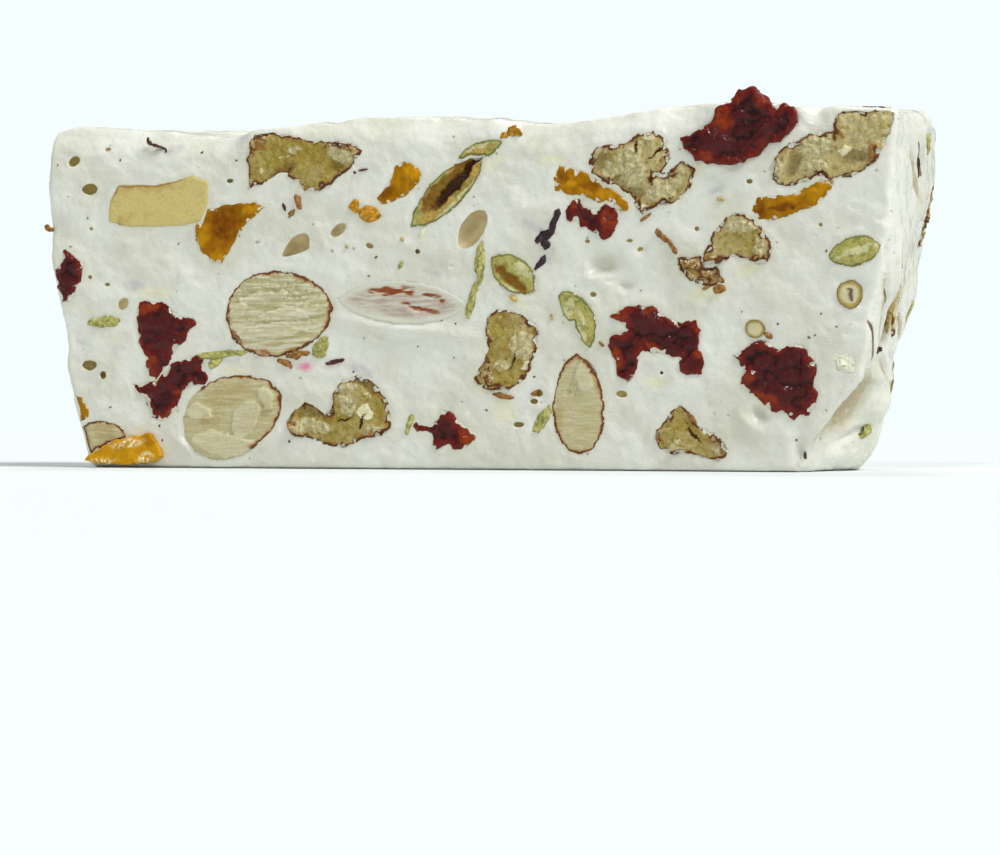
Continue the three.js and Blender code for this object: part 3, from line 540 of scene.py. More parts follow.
class PecanSettings(bpy.types.PropertyGroup):
    waxy: colour_property("Waxy flesh", "Smooth oily flesh", "#A18A37")
    crumb: colour_property("Crumbs", "Broken pale flesh", "#CBBD8A")
    # painted shade in the deep folds and in the seams between crumbs
    deep: colour_property("Folds", "Deep folds of the kernel", "#6E5620")
    gold: colour_property("Crust", "Golden grains of the skin", "#B78F4C")
    pale: colour_property("Pale bits", "Pale broken corners", "#E5DDB4")
    # also painted shade in the cracks and the seams of the crust
    skin: colour_property("Skin", "Brown skin", "#64350F")
    fringe: colour_property("Fringe", "Lighter skin inside the rim", "#97692E")
    skin_width: length_property("Skin width", "Width of the skin at the rim", 0.13)


class CashewSettings(bpy.types.PropertyGroup):
    flesh: colour_property("Flesh", "Smooth cut face", "#CDBA76")
    toast: colour_property("Toasting", "Toasted specks and edges", "#B08C4A")
    skin: colour_property("Edge", "Toasted outside", "#8F6527")


class CranberrySettings(bpy.types.PropertyGroup):
    flesh: colour_property("Flesh", "Dark chewy flesh", "#521616")
    # painted shade in the creases between the lobes
    dark: colour_property("Folds", "Almost black folds", "#240507")
    red: colour_property("Thin flesh", "Red where light comes through", "#761A07")
    edge: colour_property("Thin edges", "Orange-red at the thinnest edges", "#A04408")


class ApricotSettings(bpy.types.PropertyGroup):
    flesh: colour_property("Flesh", "Translucent amber flesh", "#AA7402")
    brown: colour_property("Brown parts", "Darker caramelised parts", "#743A00")
    bright: colour_property("Bright parts", "Thin parts that light shines through", "#CE9710")
    crystal: colour_property("Sugar", "Crystals of sugar", "#F1E4B8")


class SeedSettings(bpy.types.PropertyGroup):
    skin: colour_property("Skin", "Green skin", "#B0A85A")
    shade: colour_property("Shade", "Darker green", "#7A7430")
    speck: colour_property("Specks", "Pale grains of the skin", "#CDCB95")
    rim: colour_property("Rim", "Dark green rim", "#4E4F24")
    tan: colour_property("Tan wall", "Tan inner skin", "#B6923F")
    stripe: colour_property("Brown wall", "Brown inner skin", "#825106")
    pale: colour_property("Pale wall", "Pale green flesh", "#D2CE9E")
    # painted shade in the hollow of an opened seed
    gap: colour_property("Gap", "Dark hollow of an opened seed", "#351704")


class ScrapSettings(bpy.types.PropertyGroup):
    green: colour_property("Green flakes", "Flakes of pumpkin seed", "#ABA65E")
    brown: colour_property("Nut skins", "Scraps of nut skin", "#94652C")
    skin: colour_property("Dark skins", "Dark curls of skin", "#4A2417")
    purple: colour_property("Berry skins", "Scraps of berry skin", "#331A24")
    amber: colour_property("Fruit scraps", "Scraps of apricot", "#BA8204")
    pale: colour_property("Pale scraps", "Nut flesh just under the nougat", "#E0DFC6")
    tan: colour_property("Tan scraps", "Crumbs of nut", "#BBA061")
    core: colour_property("Ring core", "Pale core of a cut ring", "#D3CCA4")
    ring: colour_property("Ring wall", "Olive wall of a cut ring", "#A58F42")
    outline: colour_property("Ring outline", "Dark outside of a cut ring", "#5F4620")
    speck: colour_property("Specks", "Tiny bits of skin", "#6B4A30")
    specks: IntProperty(name="Specks", description="Tiny dark specks on the cut back", default=30, min=0)


class StageSettings(bpy.types.PropertyGroup):
    floor: colour_property("Floor", "Pale studio floor", "#E3E8E8")
    sky: colour_property("Background", "Pale studio background", "#F5FEFE")
    lens: FloatProperty(name="Lens", description="Focal length of the camera", default=79.2, unit="CAMERA")


# ---------------------------------------------------------------- materials


def add_node(tree, kind, sockets=None, **settings):
    """Adds one node with its settings. A socket takes a value, an output, a node or the name of an attribute."""
    node = tree.nodes.new("ShaderNode" + kind)
    for name, value in settings.items():
        setattr(node, name, value)
    for socket, value in (sockets or {}).items():
        if isinstance(value, str):
            value = add_node(tree, "Attribute", attribute_name=value).outputs["Fac"]
        elif isinstance(value, bpy.types.Node):
            value = value.outputs[0]
        if isinstance(value, bpy.types.NodeSocket):
            tree.links.new(value, node.inputs[socket])
        else:
            node.inputs[socket].default_value = value
    return node


def per_metre(millimetres):
    """The texture scale whose features are about this wide."""
    return 1 / (millimetres * MM)


def new_material(name, *noises):
    """A material, its nodes, its Object coordinates and a noise for each width in millimetres and detail."""
    material = bpy.data.materials.new(name)
    material.use_nodes = True
    tree = material.node_tree
    tree.nodes.clear()
    coordinates = add_node(tree, "TexCoord").outputs["Object"]
    textures = [add_node(tree, "TexNoise", {"Vector": coordinates, "Scale": per_metre(width), "Detail": detail})
                for width, detail in noises]
    return material, tree, coordinates, *textures


def painted(tree, under, coats):
    """Lays colours over one another: each coat is a colour and the amounts whose product shows of it."""
    for colour, amount, *others in coats:
        for other in others:
            amount = add_node(tree, "Math", {0: amount, 1: other}, operation="MULTIPLY", use_clamp=True)
        mix = add_node(tree, "Mix", {0: amount, 6: under, 7: colour}, data_type="RGBA")
        under = mix.outputs[2]
    return under


def ragged_patch(tree, name, breakup, softness=0.2):
    """How much of a marked patch shows, its soft edge broken up by a noise."""
    broken = add_node(tree, "Math", {0: breakup, 1: 1.2, 2: name}, operation="MULTIPLY_ADD")
    return add_node(tree, "MapRange", {"Value": broken, "From Min": 1.1 - softness / 2,
                                       "From Max": 1.1 + softness / 2})


def nougat_coat(tree, breakup):
    """The coat of nougat that laps over the rim of a cut face."""
    return bpy.context.scene.nougat_body.shade, ragged_patch(tree, "film", breakup)


def rim_band(tree, coordinates, breakup, width, blur=0.07):
    """A ragged band along the rim, about this many millimetres wide, that thins out in places."""
    wander = add_node(tree, "TexNoise", {"Vector": coordinates, "Scale": per_metre(1.8), "Detail": 2.0})
    wide = add_node(tree, "MapRange", {"Value": wander, "From Min": 0.36, "From Max": 0.64, "To Max": 2.0 * width})
    torn = add_node(tree, "Math", {0: breakup, 1: -2.0 * width, 2: "rim"}, operation="MULTIPLY_ADD")
    ragged = add_node(tree, "Math", {0: torn, 1: wide}, operation="SUBTRACT")
    return add_node(tree, "MapRange", {"Value": ragged, "From Min": -width - blur, "From Max": -width + blur,
                                       "To Min": 1.0, "To Max": 0.0})


def grains(tree, coordinates, width):
    """Uneven crumbs of about this width: two random tones of each one, and the seams between them."""
    wobble = add_node(tree, "TexNoise", {"Vector": coordinates, "Scale": per_metre(width * 0.8), "Detail": 2.0})
    bent = add_node(tree, "VectorMath", {0: wobble.outputs["Color"], 1: (width * MM * 1.7,) * 3, 2: coordinates},
                    operation="MULTIPLY_ADD")
    cells = add_node(tree, "TexVoronoi", {"Vector": bent, "Scale": per_metre(width)})
    tones = add_node(tree, "SeparateColor", {"Color": cells.outputs["Color"]})
    seams = add_node(tree, "MapRange", {"Value": cells.outputs["Distance"], "From Min": 0.4, "From Max": 0.75})
    return tones.outputs[0], tones.outputs[1], seams


def finish_surface(tree, colour, roughness, relief, relief_height, **constants):
    """Ends a material: relief is a bump texture, relief_height its depth in millimetres."""
    bump = add_node(tree, "Bump", {"Height": relief, "Distance": relief_height * MM, "Strength": 1.0})
    sockets = {"Base Color": colour, "Roughness": roughness, "Normal": bump}
    sockets.update({name.replace("_", " "): value for name, value in constants.items()})
    shader = add_node(tree, "BsdfPrincipled", sockets)
    add_node(tree, "OutputMaterial", {"Surface": shader})


def nougat_material(settings):
    # Whipped nougat: satin, a little translucent, with pinholes darkened by painted shade, wet glints, faint stains,
    # and painted shade in the folds of the right end.
    material, tree, coordinates, mottle, breakup, grain = new_material(
        "whipped_nougat_cut", (7, 6.0), (1.2, 4.0), (0.9, 5.0))
    mottled = add_node(tree, "MapRange", {"Value": mottle, "From Min": 0.4, "From Max": 0.66})
    cells = add_node(tree, "TexVoronoi", {"Vector": coordinates, "Scale": per_metre(1.7)})
    size = add_node(tree, "SeparateColor", {"Color": cells.outputs["Color"]})
    radius = add_node(tree, "MapRange", {"Value": size, "From Min": 0.72, "From Max": 1.0, "To Max": 0.17})
    inside = add_node(tree, "Math", {0: cells.outputs["Distance"], 1: radius}, operation="SUBTRACT")
    pit = add_node(tree, "MapRange", {"Value": inside, "From Min": -0.07, "From Max": 0.0,
                                      "To Min": 1.0, "To Max": 0.0})
    # the pinholes' colour is painted shade inside them
    coats = [(settings.shade, mottled), (settings.pit, pit, 0.75)]
    # fold is painted shade in the hollow and folds of the right end
    for name, strength in (("yellow", 0.7), ("berry", 1.7), ("grey", 1.0), ("fold", 1.9)):
        coats.append((getattr(settings, name), name, breakup, strength))
    smear = add_node(tree, "Mapping", {"Vector": coordinates, "Scale": (0.4, 1, 1)})
    wet = add_node(tree, "TexNoise", {"Vector": smear, "Scale": per_metre(2.2), "Detail": 4.0})
    roughness = add_node(tree, "MapRange", {"Value": wet, "From Min": 0.45, "From Max": 0.57,
                                            "To Min": 0.48, "To Max": 0.1})
    relief = add_node(tree, "Math", {0: pit, 1: -0.9, 2: grain}, operation="MULTIPLY_ADD")
    finish_surface(tree, painted(tree, settings.colour, coats), roughness, relief, 0.15,
                   Subsurface_Weight=0.15, Subsurface_Radius=(1.0, 0.9, 0.75), Subsurface_Scale=1.2 * MM)
    return material


def painted_hollow_shade_material(name, colour, shade):
    # Wall of a bubble hole, and of a slit of the right end: painted shade, darker and warmer than the nougat, as
    # light dims inside a hollow; smooth and slightly glossy. In the slits the colour also stands for nut skin.
    material, tree, _, tone = new_material(name, (2, 4.0))
    some = add_node(tree, "MapRange", {"Value": tone, "From Min": 0.45, "From Max": 0.75, "To Max": 0.5})
    finish_surface(tree, painted(tree, colour, [(shade, some)]), 0.4, tone, 0.03, Specular_IOR_Level=0.3)
    return material


def almond_material(settings, tilt=5.0, fibrous=1.0):
    # Raw almond kernel, cut across: dry torn fibres, olive pits, oily patches and a thin brown skin, with painted
    # shade in the grooves between the fibres and in the seams of the crust, and a painted highlight along the flake
    # edges. Real fibres are about 0.1 mm apart and wouldn't show, so they are drawn 0.45 mm apart and the finest
    # grain 0.3 mm.
    material, tree, coordinates, breakup, fine = new_material("raw_almond_cut", (0.9, 4.0), (0.3, 3.0))
    grain = add_node(tree, "Mapping", {"Vector": coordinates, "Rotation": (0, math.radians(tilt), 0),
                                       "Scale": (0.13, 1, 1)})
    fibres = add_node(tree, "TexNoise", {"Vector": grain, "Scale": per_metre(0.45), "Detail": 5.0,
                                         "Distortion": 0.5})
    light = add_node(tree, "MapRange", {"Value": fibres, "From Min": 0.46, "From Max": 0.66, "To Max": fibrous})
    gaps = add_node(tree, "MapRange", {"Value": fibres, "From Min": 0.44, "From Max": 0.3,
                                       "To Max": 0.55 * fibrous})
    tone, chosen, seams = grains(tree, coordinates, 0.6)
    holes = add_node(tree, "MapRange", {"Value": fine, "From Min": 0.56, "From Max": 0.66, "To Max": 0.7})
    crust = ragged_patch(tree, "crust", breakup, 0.3)
    width = settings.skin_width / MM
    colour = painted(tree, settings.flesh, [
        (settings.dull, ragged_patch(tree, "dull", breakup, 0.7), 0.6),
        (settings.pale, light),
        # painted shade in the grooves between the fibres
        (settings.dots, gaps),
        (settings.dots, holes, "dots"),
        (settings.pale, ragged_patch(tree, "plane", breakup, 0.6), 0.3),
        # painted highlight along the raised edges of the flakes
        (settings.pale, "edge", 0.5),
        (settings.fringe, ragged_patch(tree, "skin", breakup), 0.8),
        (settings.fringe, rim_band(tree, coordinates, fine, width * 2, 0.2), 0.8),
        (settings.fringe, crust),
        (settings.pale, crust, tone, chosen),
        # painted shade in the seams between the grains of the crust
        (settings.skin, crust, seams),
        (settings.skin, rim_band(tree, coordinates, breakup, width)),
        nougat_coat(tree, breakup),
    ])
    relief = add_node(tree, "Math", {0: fine, 1: 0.4, 2: fibres}, operation="MULTIPLY_ADD")
    finish_surface(tree, colour, 0.55, relief, 0.1 + 0.12 * fibrous, Specular_IOR_Level=0.25,
                   Subsurface_Weight=0.1, Subsurface_Radius=(1.0, 0.8, 0.5), Subsurface_Scale=1.0 * MM)
    return material


def filmed_almond_material(settings):
    # Almond under a film of nougat: milky, with red-brown skin showing through in long soft streaks.
    material, tree, coordinates = new_material("almond_under_nougat_film")
    stretched = add_node(tree, "Mapping", {"Vector": coordinates, "Rotation": (0, math.radians(8), 0),
                                           "Scale": (0.2, 1, 1)})
    breakup = add_node(tree, "TexNoise", {"Vector": stretched, "Scale": per_metre(0.45), "Detail": 5.0})
    uneven = add_node(tree, "MapRange", {"Value": breakup, "From Min": 0.35, "From Max": 0.62, "To Min": 0.15})
    streaks = add_node(tree, "Math", {0: "skin", 1: uneven}, operation="MULTIPLY")
    tinted = add_node(tree, "MapRange", {"Value": streaks, "From Min": 0.05, "From Max": 0.45, "To Max": 0.8})
    strong = add_node(tree, "MapRange", {"Value": streaks, "From Min": 0.2, "From Max": 0.55})
    colour = painted(tree, bpy.context.scene.nougat_body.shade, [
        (settings.under_film, "dull", uneven),
        (settings.fringe, tinted),
        (settings.streak, strong),
    ])
    finish_surface(tree, colour, 0.35, breakup, 0.1,
                   Subsurface_Weight=0.15, Subsurface_Radius=(1.0, 0.9, 0.75), Subsurface_Scale=1.2 * MM)
    return material


def pecan_material(settings):
    # Pecan kernel, cut through its folds: oily olive flesh, pale crumbs and a broken brown crust at the rim, with
    # painted shade in the deep folds, the cracks and the seams between crumbs and crust grains. Its finest crumbs
    # wouldn't show, so they are drawn 0.65 mm wide.
    material, tree, coordinates, breakup, fine = new_material("pecan_kernel_cut", (0.8, 5.0), (0.3, 3.0))
    mottle = add_node(tree, "MapRange", {"Value": breakup, "From Min": 0.3, "From Max": 0.7,
                                         "To Min": -0.3, "To Max": 0.3})
    paleness = add_node(tree, "Math", {0: "tone", 1: mottle}, operation="ADD", use_clamp=True)
    shadows = add_node(tree, "MapRange", {"Value": breakup, "From Min": 0.45, "From Max": 0.25, "To Max": 0.6})
    crumb_tone, chosen, seams = grains(tree, coordinates, 0.65)
    dots = add_node(tree, "MapRange", {"Value": crumb_tone, "From Min": 0.93, "From Max": 0.95})
    kernel = add_node(tree, "MapRange", {"Value": seams, "From Max": 0.4, "To Min": 0.6, "To Max": 0.0})
    lit = add_node(tree, "MapRange", {"Value": fine, "From Min": 0.5, "From Max": 0.7, "To Max": 0.7})
    crumb = ragged_patch(tree, "crumb", breakup, 0.4)
    crust = ragged_patch(tree, "crust", fine, 0.4)
    width = settings.skin_width / MM
    colour = painted(tree, settings.waxy, [
        (settings.crumb, paleness),
        (settings.deep, shadows),
        # painted shade in the deep folds
        (settings.deep, ragged_patch(tree, "deep", breakup, 0.8), 0.5),
        (settings.crumb, crumb, 0.8),
        (settings.pale, crumb, chosen, 0.45),
        (settings.pale, crumb, lit),
        # painted shade in the seams between crumbs
        (settings.deep, crumb, seams, 0.35),
        (settings.pale, "grain", chosen, 0.4),
        (settings.pale, dots, kernel),
        (settings.pale, ragged_patch(tree, "pale", breakup)),
        # painted shade in the cracks
        (settings.skin, ragged_patch(tree, "crack", fine)),
        (settings.fringe, ragged_patch(tree, "skin", breakup, 0.4), 0.85),
        (settings.fringe, rim_band(tree, coordinates, breakup, width * 2, 0.25), 0.8),
        (settings.gold, crust),
        (settings.pale, crust, crumb_tone, chosen),
        # painted shade in the seams between the grains of the crust
        (settings.skin, crust, seams),
        (settings.skin, rim_band(tree, coordinates, fine, width)),
        nougat_coat(tree, breakup),
    ])
    rough = add_node(tree, "Math", {0: crumb, 1: crust}, operation="MAXIMUM")
    roughness = add_node(tree, "MapRange", {"Value": rough, "To Min": 0.3, "To Max": 0.6})
    bumps = add_node(tree, "Math", {0: seams, 1: -0.5, 2: fine}, operation="MULTIPLY_ADD")
    finish_surface(tree, colour, roughness, bumps, 0.2, Specular_IOR_Level=0.2,
                   Subsurface_Weight=0.1, Subsurface_Radius=(1.0, 0.8, 0.3), Subsurface_Scale=0.8 * MM)
    return material


def cashew_material(settings):
    # Cashew, cut: smooth ivory flesh with toasted sandy specks and a toasted edge.
    material, tree, coordinates, fine, tone = new_material("roast_cashew_cut", (0.4, 3.0), (4, 3.0))
    speckled = add_node(tree, "MapRange", {"Value": fine, "From Min": 0.52, "From Max": 0.75, "To Max": 0.8})
    colour = painted(tree, settings.flesh, [
        (settings.toast, speckled, tone),
        (settings.toast, rim_band(tree, coordinates, tone, 0.9, 0.5), 0.45),
        (settings.skin, rim_band(tree, coordinates, fine, 0.14), 0.7),
    ])
    finish_surface(tree, colour, 0.55, fine, 0.1, Specular_IOR_Level=0.3,
                   Subsurface_Weight=0.15, Subsurface_Radius=(1.0, 0.8, 0.5), Subsurface_Scale=1.5 * MM)
    return material


def cranberry_material(settings):
    # Sweetened dried cranberry: wet-looking folds, dark with painted shade in the creases between the lobes, with
    # light glowing through thin edges.
    material, tree, coordinates, breakup, fine = new_material("dried_cranberry", (1.1, 4.0), (0.35, 3.0))
    mottle = add_node(tree, "MapRange", {"Value": fine, "From Min": 0.4, "From Max": 0.65, "To Max": 0.3})
    # painted shade: the dark shows in the creases between lobes, where fold is low, and in a random mottle
    fleshy = add_node(tree, "Math", {0: "fold", 1: mottle}, operation="SUBTRACT", use_clamp=True)
    uneven = add_node(tree, "Math", {0: breakup, 1: 1.4, 2: "glow"}, operation="MULTIPLY_ADD")
    thin = add_node(tree, "MapRange", {"Value": uneven, "From Min": 0.8, "From Max": 1.7})
    thinnest = add_node(tree, "MapRange", {"Value": uneven, "From Min": 1.45, "From Max": 2.1, "To Max": 0.8})
    colour = painted(tree, settings.dark, [
        (settings.flesh, fleshy),
        (settings.red, rim_band(tree, coordinates, breakup, 0.45, 0.3), 0.7),
        (settings.red, thin),
        (settings.edge, thinnest),
        nougat_coat(tree, fine),
    ])
    relief = add_node(tree, "Math", {0: fine, 1: 0.6, 2: breakup}, operation="MULTIPLY_ADD")
    finish_surface(tree, colour, 0.3, relief, 0.3, Specular_IOR_Level=0.1, Coat_Weight=0.2, Coat_Roughness=0.08)
    return material


def apricot_material(settings):
    # Dried apricot: amber, glassy where it was cut, brown where it caramelised, bright where it is thin.
    material, tree, _, breakup, streaks = new_material("dried_apricot_cut", (1.1, 3.0), (0.5, 4.0))
    uneven = add_node(tree, "MapRange", {"Value": breakup, "From Min": 0.3, "From Max": 0.7,
                                         "To Min": -0.12, "To Max": 0.12})
    toned = add_node(tree, "Math", {0: "tone", 1: uneven}, operation="ADD")
    lighter = add_node(tree, "MapRange", {"Value": toned, "From Max": 0.55})
    brightest = add_node(tree, "MapRange", {"Value": toned, "From Min": 0.5})
    grainy = add_node(tree, "MapRange", {"Value": streaks, "From Min": 0.42, "From Max": 0.55})
    colour = painted(tree, settings.brown, [
        (settings.flesh, lighter),
        (settings.bright, brightest),
        (settings.crystal, grainy, "crystal"),
        nougat_coat(tree, breakup),
    ])
    finish_surface(tree, colour, 0.3, streaks, 0.1, Specular_IOR_Level=0.1,
                   Subsurface_Weight=0.1, Subsurface_Radius=(1.0, 0.5, 0.1), Subsurface_Scale=0.8 * MM)
    return material


def seed_material(settings):
    # Pumpkin seed, cut open: grainy green skin, a dark rim, tan and brown inner skins and a hollow darkened with
    # painted shade.
    material, tree, coordinates, breakup, fine = new_material("pumpkin_seed_cut", (0.9, 4.0), (0.3, 3.0))
    shaded = add_node(tree, "MapRange", {"Value": breakup, "From Min": 0.5, "From Max": 0.32, "To Max": 0.7})
    speckled = add_node(tree, "MapRange", {"Value": fine, "From Min": 0.5, "From Max": 0.7, "To Max": 0.6})
    pits = add_node(tree, "MapRange", {"Value": fine, "From Min": 0.42, "From Max": 0.3, "To Max": 0.6})
    colour = painted(tree, settings.skin, [
        (settings.tan, ragged_patch(tree, "tan", breakup, 0.6)),
        (settings.speck, speckled),
        (settings.stripe, ragged_patch(tree, "stripe", fine, 0.6)),
        (settings.pale, ragged_patch(tree, "pale", breakup, 0.5), 0.8),
        (settings.shade, shaded),
        (settings.shade, pits),
        (settings.rim, rim_band(tree, coordinates, fine, 0.05), 0.7),
        # painted shade in the hollow
        (settings.gap, ragged_patch(tree, "gap", fine, 0.8)),
        nougat_coat(tree, breakup),
    ])
    finish_surface(tree, colour, 0.45, fine, 0.14, Specular_IOR_Level=0.2)
    return material


def scrap_material(name, colour, roughness, contrast=0.6):
    # Scraps of skin, seed and fruit: thin, grainy and mottled, darker at their ragged edges.
    material, tree, _, tone = new_material(name, (0.5, 4.0))
    darker = tuple(channel * (1 - contrast) for channel in colour[:3]) + (1.0,)
    lighter = tuple(min(channel * (1 + 0.8 * contrast) + 0.05 * contrast, 1) for channel in colour[:3]) + (1.0,)
    lights = add_node(tree, "MapRange", {"Value": tone, "From Min": 0.52, "From Max": 0.66, "To Max": 0.8})
    shadows = add_node(tree, "MapRange", {"Value": tone, "From Min": 0.5, "From Max": 0.34, "To Max": 0.8})
    edge = add_node(tree, "MapRange", {"Value": "radial", "From Min": 0.8, "To Max": 0.25})
    shades = painted(tree, colour, [(lighter, lights), (darker, shadows), (darker, edge)])
    finish_surface(tree, shades, roughness, tone, 0.16, Specular_IOR_Level=0.3)
    return material


def ring_material(settings):
    # A narrow seed or nut cut into a ring: dark outline, olive wall, pale core and a black slit.
    material, tree, _, tone = new_material("cut_seed_ring", (0.5, 4.0))
    ragged = add_node(tree, "Math", {0: tone, 1: 0.3, 2: "radial"}, operation="MULTIPLY_ADD")
    outline = add_node(tree, "MapRange", {"Value": ragged, "From Min": 0.98, "From Max": 1.1, "To Max": 0.8})
    core = add_node(tree, "MapRange", {"Value": ragged, "From Min": 0.55, "From Max": 0.85,
                                       "To Min": 0.85, "To Max": 0.0})
    colour = painted(tree, settings.ring, [
        (settings.core, core),
        (settings.outline, outline),
        (settings.skin, "slit"),
    ])
    finish_surface(tree, colour, 0.5, tone, 0.12, Specular_IOR_Level=0.3)
    return material


# ---------------------------------------------------------------- fields


def noise_field(points, width, seed, octaves=2, stretch=(1, 1, 1)):
    """Smooth noise of about -1 to 1 at points in millimetres, with features about this wide."""
    # Each seed reads its own part of the same noise
    scaled = points / (width * np.array(stretch, float)) + seed * 17.3
    return np.array([noise.fractal(Vector(p), 0.7, 2.0, octaves) for p in scaled])


def smooth_step(values, low, high):
    """Eases from 0 at low to 1 at high."""
    t = np.clip((values - low) / (high - low), 0, 1)
    return t * t * (3 - 2 * t)


def turned(across, up, turn):
    """Offsets along and across an axis that is turned by this many degrees."""
    cosine, sine = math.cos(math.radians(turn)), math.sin(math.radians(turn))
    return across * cosine + up * sine, up * cosine - across * sine


def ellipse_field(ellipses, across, up):
    """1 inside any of the ellipses, 0 well outside them and 0.5 on their outlines."""
    amount = np.zeros(len(across))
    for x, z, length, width, turn in ellipses:
        along, aside = turned(across - x, up - z, turn)
        amount = np.maximum(amount, 1 - smooth_step(np.hypot(along / length, aside / width), 0.55, 1.45))
    return amount


def distances(tree, points):
    """Each point's distance to the nearest face of a search tree, in millimetres."""
    return np.array([tree.find_nearest(Vector(p) * MM)[3] for p in points]) / MM


# ---------------------------------------------------------------- form and meshes


def mesh_points(mesh):
    """The mesh's vertices in millimetres."""
    points = np.empty(len(mesh.vertices) * 3)
    mesh.vertices.foreach_get("co", points)
    return points.reshape(-1, 3) / MM


def set_mesh_points(mesh, points):
    """Moves the mesh's vertices to points in millimetres."""
    mesh.vertices.foreach_set("co", (points * MM).ravel())
    mesh.update()


def set_attribute(mesh, name, values):
    """Stores one number for each vertex, which a material reads by its name."""
    attribute = mesh.attributes.new(name, "FLOAT", "POINT")
    attribute.data.foreach_set("value", values.astype(np.float32))


def end_reach(profile, lumps, y, z):
    """How far an end reaches from the bar's middle."""
    reach = np.interp(z, profile[0], profile[1]) + END_CROWN * (1 - (2 * y / DEPTH) ** 2)
    for lump_y, lump_z, half_width, half_height, rise in lumps:
        distance = ((y - lump_y) / half_width) ** 2 + ((z - lump_z) / half_height) ** 2
        reach = reach + rise * np.exp(-distance)
    return reach


def top_height(x, y):
    """The height of the wavy top."""
    wave = TOP_WAVE * np.cos(2 * np.pi * (x - WAVE_CREST_X - y) / WAVE_LENGTH)
    return HEIGHT + wave - TOP_FALL * x


def surface_gap(side, points):
    """How far outside each point the bar's surface lies, in millimetres."""
    x, y, z = (points - np.array(SHIFT)).T
    gaps = {
        "front": lambda: y + DEPTH / 2,
        "back": lambda: DEPTH / 2 - y,
        "right": lambda: end_reach(RIGHT_END, RIGHT_LUMPS, y, z) - x,
        "left": lambda: end_reach(LEFT_END, LEFT_LUMPS, y, z) + x,
        "top": lambda: top_height(x, y) - z,
    }
    return gaps[side]()


def surface_point(side, across, up):
    """A point of the bar's surface, in the frame's millimetres."""
    starts = {"front": (across, 0, up), "back": (across, 0, up), "right": (0, across, up),
              "left": (0, across, up), "top": (across, up, 0)}
    start = Vector(starts[side]) + SHIFT
    return start + SIDES[side][2] * float(surface_gap(side, np.array([start]))[0])


def side_matrix(side, across, up, turn, scale):
    """Places a shape on a side, turned in its plane, with its own size in millimetres."""
    axes = Matrix(SIDES[side]).transposed().to_4x4()
    place = Matrix.Translation(surface_point(side, across, up) * MM)
    size = Matrix.Diagonal((*(Vector(scale) * MM), 1))
    return place @ axes @ Matrix.Rotation(math.radians(turn), 4, "Z") @ size


def new_mesh(name, shape):
    """Turns a finished bmesh into a mesh."""
    mesh = bpy.data.meshes.new(name)
    shape.to_mesh(mesh)
    shape.free()
    return mesh


def link_object(name, mesh, materials):
    """Adds an object at the origin."""
    obj = bpy.data.objects.new(name, mesh)
    bpy.context.scene.collection.objects.link(obj)
    for material in materials:
        mesh.materials.append(material)
    return obj


def settle(obj, slot_name, *nodes):
    """Makes the piece ride on the bar and stand for its CAD nodes, which it hides; its slot name is not used."""
    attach(obj, "root")
    if nodes:
        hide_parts(*nodes)
    return obj


def applied_copy(obj):
    """The object's mesh with its modifiers applied."""
    graph = bpy.context.evaluated_depsgraph_get()
    mesh = bpy.data.meshes.new_from_object(obj.evaluated_get(graph))
    obj.modifiers.clear()
    old = obj.data
    obj.data = mesh
    bpy.data.meshes.remove(old)
    return mesh


def merged_mesh(node):
    """A copy of a CAD node's mesh with its corners joined."""
    shape = bmesh.new()
    shape.from_mesh(frame["nodes"][node].data)
    bmesh.ops.remove_doubles(shape, verts=shape.verts, dist=MERGE_DISTANCE * MM)
    return new_mesh(node + "_copy", shape)


def side_of(node):
    """The side that a piece shows on, which its name tells."""
    for side in ("back", "right", "left", "top"):
        if side in node.split("_"):
            return side
    return "front"


def face_tree(mesh, wanted):
    """A search tree of the mesh's faces that are wanted."""
    corners = [v.co.copy() for v in mesh.vertices]
    return BVHTree.FromPolygons(corners, [tuple(p.vertices) for p in mesh.polygons if wanted(p)])


def outer_faces_tree(nodes):
    """A search tree of the outer faces of all the pieces."""
    corners, faces = [], []
    for node in nodes:
        out = SIDES[side_of(node)][2]
        mesh = frame["nodes"][node].data
        start = len(corners)
        corners += [v.co.copy() for v in mesh.vertices]
        faces += [tuple(start + i for i in p.vertices) for p in mesh.polygons if p.normal.dot(out) > FACING]
    return BVHTree.FromPolygons(corners, faces)


def sideways_warp(node, points):
    """Small random shifts in the plane of a piece's cut face, in millimetres."""
    right, upward, _ = SIDES[side_of(node)]
    shifts = np.zeros_like(points)
    for number, (width, amount) in enumerate(WARPS[SLOTS[node]]):
        for axis, seed in ((right, 5), (upward, 6)):
            field = noise_field(points, width, seed=seed + 10 * number) * amount
            shifts += field[:, None] * np.array(axis)
    return shifts


# ---------------------------------------------------------------- nougat


